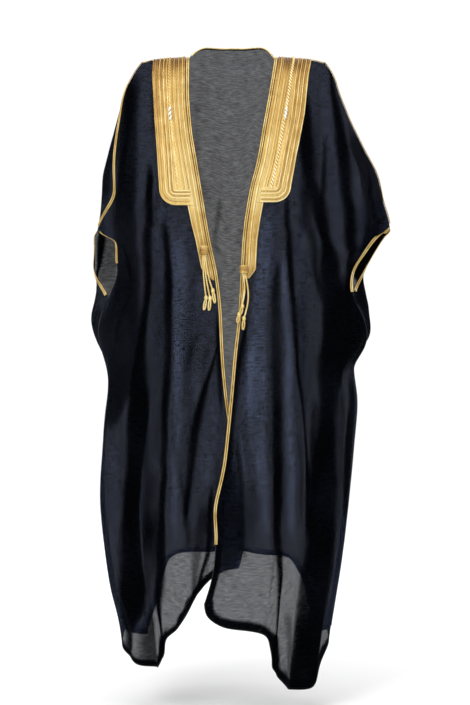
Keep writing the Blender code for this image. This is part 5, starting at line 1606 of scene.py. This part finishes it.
def slit_rows(side):
    """First and last fine row of a wrist slit, where the two panels part."""
    front = coarse["front_" + side][-1]
    back = coarse["back"][BACK_EDGE[side][0]]
    apart = np.linalg.norm(front - back, axis=1) > 2 * WALL
    rows = np.nonzero(apart)[0]
    return (int(rows.min()) - 1) * DOWN, (int(rows.max()) + 1) * DOWN


inset = BRAID_INSET + BRAID_HALF
slits = {side: slit_rows(side) for side in SIDES}
print("wrist slits, in metres of height:",
      {side: (round(float(fine["front_" + side][-1, a, 2]), 3),
              round(float(fine["front_" + side][-1, b, 2]), 3))
       for side, (a, b) in slits.items()})


# %% Front edges and wrist slits
# On the right the front edge of the slit folds under, and hides its braid, below this.
SLIT_BRAID_LOW_Z = {"right": -0.472, "left": -1.0}
for side in SIDES:
    panel = "front_" + side
    points, ways = fine[panel], normals[panel]
    rows = np.nonzero(points[0, :, 2] >= EDGE_BRAID_END_Z)[0]
    path = border_path(points[0, rows], ways[0, rows], points[2, rows], BRAID_STEP, inset)
    sewn_on(braid("front_edge_braid_" + side, path), "gold_braid", "edge_braid_" + side)
    first, last = slits[side]
    rows = np.arange(first + 1, last)
    shown = rows[points[-1, rows, 2] > SLIT_BRAID_LOW_Z[side]]
    path = border_path(points[-1, shown], ways[-1, shown], points[-3, shown], BRAID_STEP, inset)
    sewn_on(braid("wrist_edge_front_" + side, path), "gold_braid", "wrist_braid_front_" + side)
    column, beside = BACK_EDGE[side]
    points, ways = fine["back"], normals["back"]
    path = border_path(points[column, rows], ways[column, rows], points[beside, rows],
                       BRAID_STEP, inset)
    sewn_on(braid("wrist_edge_back_" + side, path), "gold_braid", "wrist_braid_back_" + side)


# %% Shoulder seams and back neck
for side in SIDES:
    panel = "front_" + side
    points, ways = fine[panel], normals[panel]
    band_end = abs(BROAD_OUTER[side][0][0]) + SEAM_START
    beyond = np.nonzero(np.abs(points[:, 0, 0]) > band_end)[0]
    first = slits[side][0]
    seam = np.concatenate([points[beyond, 0], points[-1, 1:first]])
    ups = np.concatenate([ways[beyond, 0], ways[-1, 1:first]])
    back_ways = normals["back"][:, 0][::-1] if side == "right" else normals["back"][:, 0]
    ups[:len(beyond)] += back_ways[:len(beyond)][::-1]
    ups[len(beyond):] += normals["back"][BACK_EDGE[side][0], 1:first]
    path = lifted(even_path(seam, ups, BRAID_STEP), SEAM_LIFT)
    sewn_on(braid("shoulder_seam_braid_" + side, path), "gold_braid", "shoulder_braid_" + side)
points, ways = fine["back"], normals["back"]
nape = np.nonzero(np.abs(points[:, 0, 0]) < abs(fine["front_right"][0, 0, 0]) - NAPE_MARGIN)[0]
path = border_path(points[nape, 0], ways[nape, 0], points[nape, 2], BRAID_STEP,
                   BRAID_INSET + NECK_HALF)
rim_path = lifted(even_path(points[nape, 0], ways[nape, 0], BRAID_STEP), -SEAM_LIFT)
rim_cord = twisted("nape_rim", [rim_path], NAPE_RIM_RADIUS, gold_cord)
nape_braid = joined("nape_braid", [braid("nape_tape", path, NECK_HALF), rim_cord])
sewn_on(nape_braid, "gold_braid", "neck_braid")
print("braids sewn on")

# %% [markdown]
# ## Tassels
#
# Each front edge carries a tassel: a wound bead with three thin twisted cords,
# each with a small knot and a loop at its end. The bead is a solid core with
# thread wound round it, from a helix that follows the core's own outline. Its
# crown is wound in light gold as painted light, its belly in deeper gold as
# painted shade, and a dark ring at its foot is painted shade.

# %% Tassel sizes
BEAD_HALF = (0.0103, 0.0095, 0.0098)
BEAD_SQUARE = 0.45      # 1 would be a ball, and less is squarer, like a barrel
BEAD_LIFT = 0.0125
BEAD_TURNS = 8          # of each of the two threads wound round it
BEAD_THREAD = 0.0006
RING_THREAD = 0.0011
HANG_RADIUS = 0.0021
HANG_LIFT = 0.0078
KNOT_RADIUS = 0.0042
KNOT_SIZES = (KNOT_RADIUS, KNOT_RADIUS, KNOT_RADIUS * 1.4)
KNOT_TURNS = 5
LOOP_HALF_WIDTH = 0.0024
ROOT_SPREAD = 0.0022
WIND_POINTS = 28        # points to a turn of wound thread
WIND_STEP = {"bead": 0.0010, "knot": 0.0008}
HANG_STEP, LOOP_STEP = 0.0010, 0.0009
# Shares of the way down a ball that its threads cover: the crown, painted light, the belly,
# painted shade, and the dark foot ring, painted shade.
WHOLE, LIT_CROWN, SHADED_BELLY, SHADE_RING = (0.06, 0.94), (0.10, 0.50), (0.50, 0.85), (0.86, 0.86)
# Each bead's x and z, and each cord's bend, knot and foot as x and z.
TASSELS = {
    "right": {"bead": (-0.0639, -0.4435), "cords": (
        (-0.0657, -0.499, -0.0605, -0.552, -0.0650, -0.579),
        (-0.0610, -0.499, -0.0516, -0.553, -0.0538, -0.580),
        (-0.0561, -0.497, -0.0453, -0.536, -0.0408, -0.563),
    )},
    "left": {"bead": (0.0250, -0.4875), "cords": (
        (0.0262, -0.537, 0.0135, -0.590, 0.0011, -0.608),
        (0.0250, -0.533, 0.0209, -0.571, 0.0168, -0.589),
        (0.0343, -0.548, 0.0242, -0.599, 0.0213, -0.624),
    )},
}

# %% Tassel parts
def before_front(side, x, z, lift):
    """A point that hangs in front of a front panel."""
    spot, way = on_front(side, x, z)
    return spot + way * lift


def squared(spokes, power):
    """Points on a ball, pushed out towards a barrel."""
    ring = np.linalg.norm(spokes[:, :2], axis=1, keepdims=True)
    around = spokes[:, :2] / np.maximum(ring, 1e-6) * ring ** power
    tall = np.sign(spokes[:, 2:]) * np.abs(spokes[:, 2:]) ** power
    return np.concatenate([around, tall], axis=1)


def core(name, centre, half_sizes, power, material):
    """A solid ball or barrel."""
    shape = bmesh.new()
    bmesh.ops.create_uvsphere(shape, u_segments=24, v_segments=18, radius=1.0)
    spokes = np.array([vertex.co[:] for vertex in shape.verts])
    places = np.asarray(centre) + squared(spokes, power) * np.asarray(half_sizes)
    for vertex, place in zip(shape.verts, places):
        vertex.co = place
    for face in shape.faces:
        face.smooth = True
    mesh = bpy.data.meshes.new(name)
    shape.to_mesh(mesh)
    shape.free()
    mesh.materials.append(material)
    return linked(name, mesh)


def winding(centre, half_sizes, turns, step, power=1.0, ends=WHOLE):
    """A helix round a ball or barrel, between two shares of the way down it."""
    shares = np.linspace(*ends, turns * WIND_POINTS)
    latitude = (0.5 - shares) * math.pi
    spin = np.linspace(0.0, turns * 2 * math.pi, turns * WIND_POINTS)
    spokes = np.stack([np.cos(latitude) * np.cos(spin), np.cos(latitude) * np.sin(spin),
                       np.sin(latitude)], axis=1)
    points = np.asarray(centre) + squared(spokes, power) * np.asarray(half_sizes)
    return even_path(points, spokes, step)


def loop_path(top, foot, half_width, step):
    """A narrow closed loop that hangs from top to foot."""
    top, foot = np.asarray(top), np.asarray(foot)
    down = (foot - top) / np.linalg.norm(foot - top)
    out = np.array(FRONT)
    across = np.cross(out, down)
    across /= np.linalg.norm(across)
    turns = np.linspace(0.0, 2 * math.pi, 40)[:, None]
    half_long = np.linalg.norm(foot - top) / 2
    points = (top + foot) / 2 - down * np.cos(turns) * half_long
    points = points + across * np.sin(turns) * half_width
    return even_path(points, np.broadcast_to(np.cross(down, across), points.shape), step)


def hanging_path(points, step):
    """A smooth path through a few points, with its normals towards the front."""
    points = np.asarray(points, float)
    curve = spline_matrix(len(points), 16) @ points
    return even_path(curve, np.broadcast_to(np.array(FRONT), curve.shape), step)


# %% Make the tassels
def tassel(name, side):
    """Bead, cords, knots and loops, joined into one piece."""
    plan = TASSELS[side]
    bead_x, bead_z = plan["bead"]
    centre = before_front(side, bead_x, bead_z, BEAD_LIFT)
    pieces = [core(name + "_bead", centre, BEAD_HALF, BEAD_SQUARE, gold_dark)]
    # Painted shade and light on the bead: a dark ring at its foot, a light crown and a deeper
    # belly.
    shade_rings, upper, wound = (
        [winding(centre, BEAD_HALF, turns, WIND_STEP["bead"], BEAD_SQUARE, ends)]
        for turns, ends in ((1, SHADE_RING), (BEAD_TURNS, LIT_CROWN), (BEAD_TURNS, SHADED_BELLY)))
    hanging = []
    for k, (bend_x, bend_z, knot_x, knot_z, foot_x, foot_z) in enumerate(plan["cords"]):
        spread = (k - 1) * ROOT_SPREAD
        root = centre + np.array([spread, 0.0, -BEAD_HALF[2] * 0.5])
        chin = centre + np.array([spread * 1.3, 0.0, -BEAD_HALF[2] * 1.35])
        bend = before_front(side, bend_x, bend_z, HANG_LIFT + BAND_LIFT)
        knot = before_front(side, knot_x, knot_z, HANG_LIFT)
        foot = before_front(side, foot_x, foot_z, HANG_LIFT)
        hanging.append(hanging_path([root, chin, bend, knot], HANG_STEP))
        eye = knot + (foot - knot) * 0.12
        hanging.append(loop_path(eye, foot, LOOP_HALF_WIDTH, LOOP_STEP))
        pieces.append(core(f"{name}_knot_{k}", knot, KNOT_SIZES, 1.0, gold_cord))
        upper.append(winding(knot, KNOT_SIZES, KNOT_TURNS, WIND_STEP["knot"]))
    pieces.append(twisted(name + "_ring", shade_rings, RING_THREAD, tape_gold))
    pieces.append(twisted(name + "_crown", upper, BEAD_THREAD, gold_cord))
    pieces.append(twisted(name + "_thread", wound, BEAD_THREAD, gold_braid))
    pieces.append(twisted(name + "_cords", hanging, HANG_RADIUS, gold_cord))
    return joined(name, pieces)


for side in SIDES:
    sewn_on(tassel("tassel_cords_" + side, side), "gold_cord", "tassel_" + side)
print("tassels hung")

# %% [markdown]
# ## Hems and side seams
#
# Every raw edge of the cloth is turned in twice and stitched. The turned cloth
# is several plies thick, so it shows as a thin dark line round the sheer hem.
# The side seams below the wrist slits are felled the same way.

# %% Hem and seam material
ROLL_LIT = (0.0050, 0.0062, 0.0110)


def roll_material():
    """The same voile, rolled: opaque, with a fine grain."""
    made, tree, shader = principled("rolled_voile", Roughness=0.8, Sheen_Weight=0.02,
                                    Sheen_Roughness=0.5)
    grain = noise(tree, object_place(tree), 420.0, 2.0)
    colour = ramp(tree, grain, ((0.35, NAVY_BLACK), (0.70, ROLL_LIT)))
    tree.links.new(colour, shader.inputs["Base Color"])
    dented(tree, shader, grain, 0.4, 0.0004)
    return made


rolled_voile = roll_material()
ROLL_RADIUS = 0.0010
ROLL = {**SINGLE, "Strand radius": ROLL_RADIUS, "Sides": 8}
ROLL_STEP = 0.0035
ROLL_SINK = 0.0004      # how deep a roll lies in the cloth
STITCH_STEP = 0.0055
STITCH_INSET = 0.0048   # from the edge to its row of stitches
STITCH_LIFT = 0.0001
STITCH = {"Length": 0.0030, "Radius": 0.00035, "Slant": 0.5, "Alternate": 0.0}

# %% Roll the hems and fell the seams
for panel in fine:
    points, ways = fine[panel], normals[panel]
    lines = [(points[:, -1], ways[:, -1], points[:, -3])]
    if panel != "back":
        rows = np.nonzero(points[0, :, 2] < EDGE_BRAID_END_Z)[0]
        lines.append((points[0, rows], ways[0, rows], points[2, rows]))
    paths = [lifted(border_path(*line, ROLL_STEP, ROLL_RADIUS), -ROLL_SINK) for line in lines]
    sewn_on(grown("hem_roll_" + panel, STRANDS, paths, ROLL, rolled_voile), "cloth")
    paths = [lifted(border_path(*line, STITCH_STEP, STITCH_INSET), STITCH_LIFT)
             for line in lines]
    sewn_on(grown("hem_stitches_" + panel, STITCHES, paths, STITCH, rolled_voile), "cloth")
for side in SIDES:
    last = slits[side][1]
    line = fine["front_" + side][-1, last:]
    way = normals["front_" + side][-1, last:] + normals["back"][BACK_EDGE[side][0], last:]
    path = lifted(even_path(line, way, ROLL_STEP), -ROLL_SINK)
    sewn_on(grown("side_seam_" + side, STRANDS, [path], ROLL, rolled_voile), "cloth")
print("hems rolled and side seams felled")

# %% [markdown]


# %% [markdown]
# ## Floor, lights and camera
#
# The cloak hangs clear of a round, pale floor in a plain white room, so that
# its sheer hem shows as it would in a bright shop. The room is a world colour
# and not a wall, so nothing stands in the way of a view from behind. Two big
# soft lamps stand in front, to the left and the right, one hangs overhead, and
# one behind the cloak lights the floor. The camera looks at the front from the
# height of the tassels.

# %% The pale floor
FLOOR_Z = -1.50
FLOOR_RINGS = (0.0005, 1.0, 3.6)    # radii; the first leaves a hole too small to see
FLOOR_SPOKES = 97


def pale_floor():
    """A round floor that is nearly white."""
    spokes = np.linspace(0.0, 2 * math.pi, FLOOR_SPOKES)
    x, y = np.outer(np.cos(spokes), FLOOR_RINGS), np.outer(np.sin(spokes), FLOOR_RINGS)
    points = np.stack([x, y, np.full(x.shape, FLOOR_Z)], axis=-1)
    piece = grid_object("studio_floor", points, Vector((0, 0, 1)))
    made, tree, shader = principled("pale_floor", Roughness=0.9)
    tone = noise(tree, object_place(tree), 2.0, 2.0)
    colour = ramp(tree, tone, ((0.3, (0.94, 0.94, 0.94)), (0.7, (0.96, 0.96, 0.96))))
    tree.links.new(colour, shader.inputs["Base Color"])
    piece.data.materials.append(made)
    return piece


pale_floor()
print("floor laid at", FLOOR_Z)

# %% Lights
def aimed(holder, place, aim):
    """Put a lamp or a camera at a place and turn it towards another."""
    holder.location = place
    holder.rotation_mode = "QUATERNION"
    holder.rotation_quaternion = (Vector(aim) - Vector(place)).to_track_quat("-Z", "Y")


LIGHTS = (
    # name, place, aim, size, watts
    ("key", (-1.7, -2.6, 1.2), (0.0, 0.0, -0.6), 1.6, 55.0),
    ("fill", (2.2, -2.4, 0.5), (0.0, 0.0, -0.7), 2.2, 22.0),
    ("top", (0.0, -0.6, 2.4), (0.0, 0.0, -0.5), 2.0, 30.0),
    ("floor", (0.0, 2.2, 1.2), (0.0, 3.0, -1.5), 3.0, 45.0),
)
for name, place, aim, size, watts in LIGHTS:
    lamp = bpy.data.lights.new(name, "AREA")
    lamp.size = size
    lamp.energy = watts
    aimed(linked(name, lamp), place, aim)
print("lamps:", len(LIGHTS))

# %% The white room
SKY_STRENGTH = 0.70     # of the light that comes from all around
ROOM_STRENGTH = 1.03    # what the camera sees of the room, a little brighter than white
world = bpy.data.worlds.new("white_room")
world.use_nodes = True
tree = world.node_tree
sky = tree.nodes["Background"]
sky.inputs["Color"].default_value = (1.0, 1.0, 1.0, 1.0)
sky.inputs["Strength"].default_value = SKY_STRENGTH
room = add(tree, "ShaderNodeBackground", {"Color": (1.0, 1.0, 1.0, 1.0),
                                          "Strength": ROOM_STRENGTH})
seen = add(tree, "ShaderNodeLightPath").outputs["Is Camera Ray"]
both = add(tree, "ShaderNodeMixShader", {0: seen, 1: sky.outputs[0], 2: room.outputs[0]})
tree.links.new(both.outputs[0], tree.nodes["World Output"].inputs["Surface"])
bpy.context.scene.world = world
bpy.context.scene.view_settings.view_transform = "Standard"

# %% Camera
PIXELS_PER_METRE = 435.0        # at the plane of the cloak's front
FRAME_WIDTH, FRAME_HEIGHT = 470, 705
CENTRE_PIXEL = (233.0, 57.0)    # where the origin is seen
PLANE_Y = -0.07
CAMERA_DISTANCE = 5.0
CAMERA_Z = -0.42
SENSOR = 36.0
camera_data = bpy.data.cameras.new("view")
camera = linked("view", camera_data)
aim_x = (FRAME_WIDTH / 2 - CENTRE_PIXEL[0]) / PIXELS_PER_METRE
aim_z = (CENTRE_PIXEL[1] - FRAME_HEIGHT / 2) / PIXELS_PER_METRE
place = Vector((aim_x, PLANE_Y - CAMERA_DISTANCE, CAMERA_Z))
aim = Vector((aim_x, PLANE_Y, aim_z))
aimed(camera, place, aim)
camera_data.sensor_width = SENSOR
camera_data.lens = SENSOR * (aim - place).length / (FRAME_HEIGHT / PIXELS_PER_METRE)
bpy.context.scene.camera = camera
print("lens", round(camera_data.lens, 1), "mm")
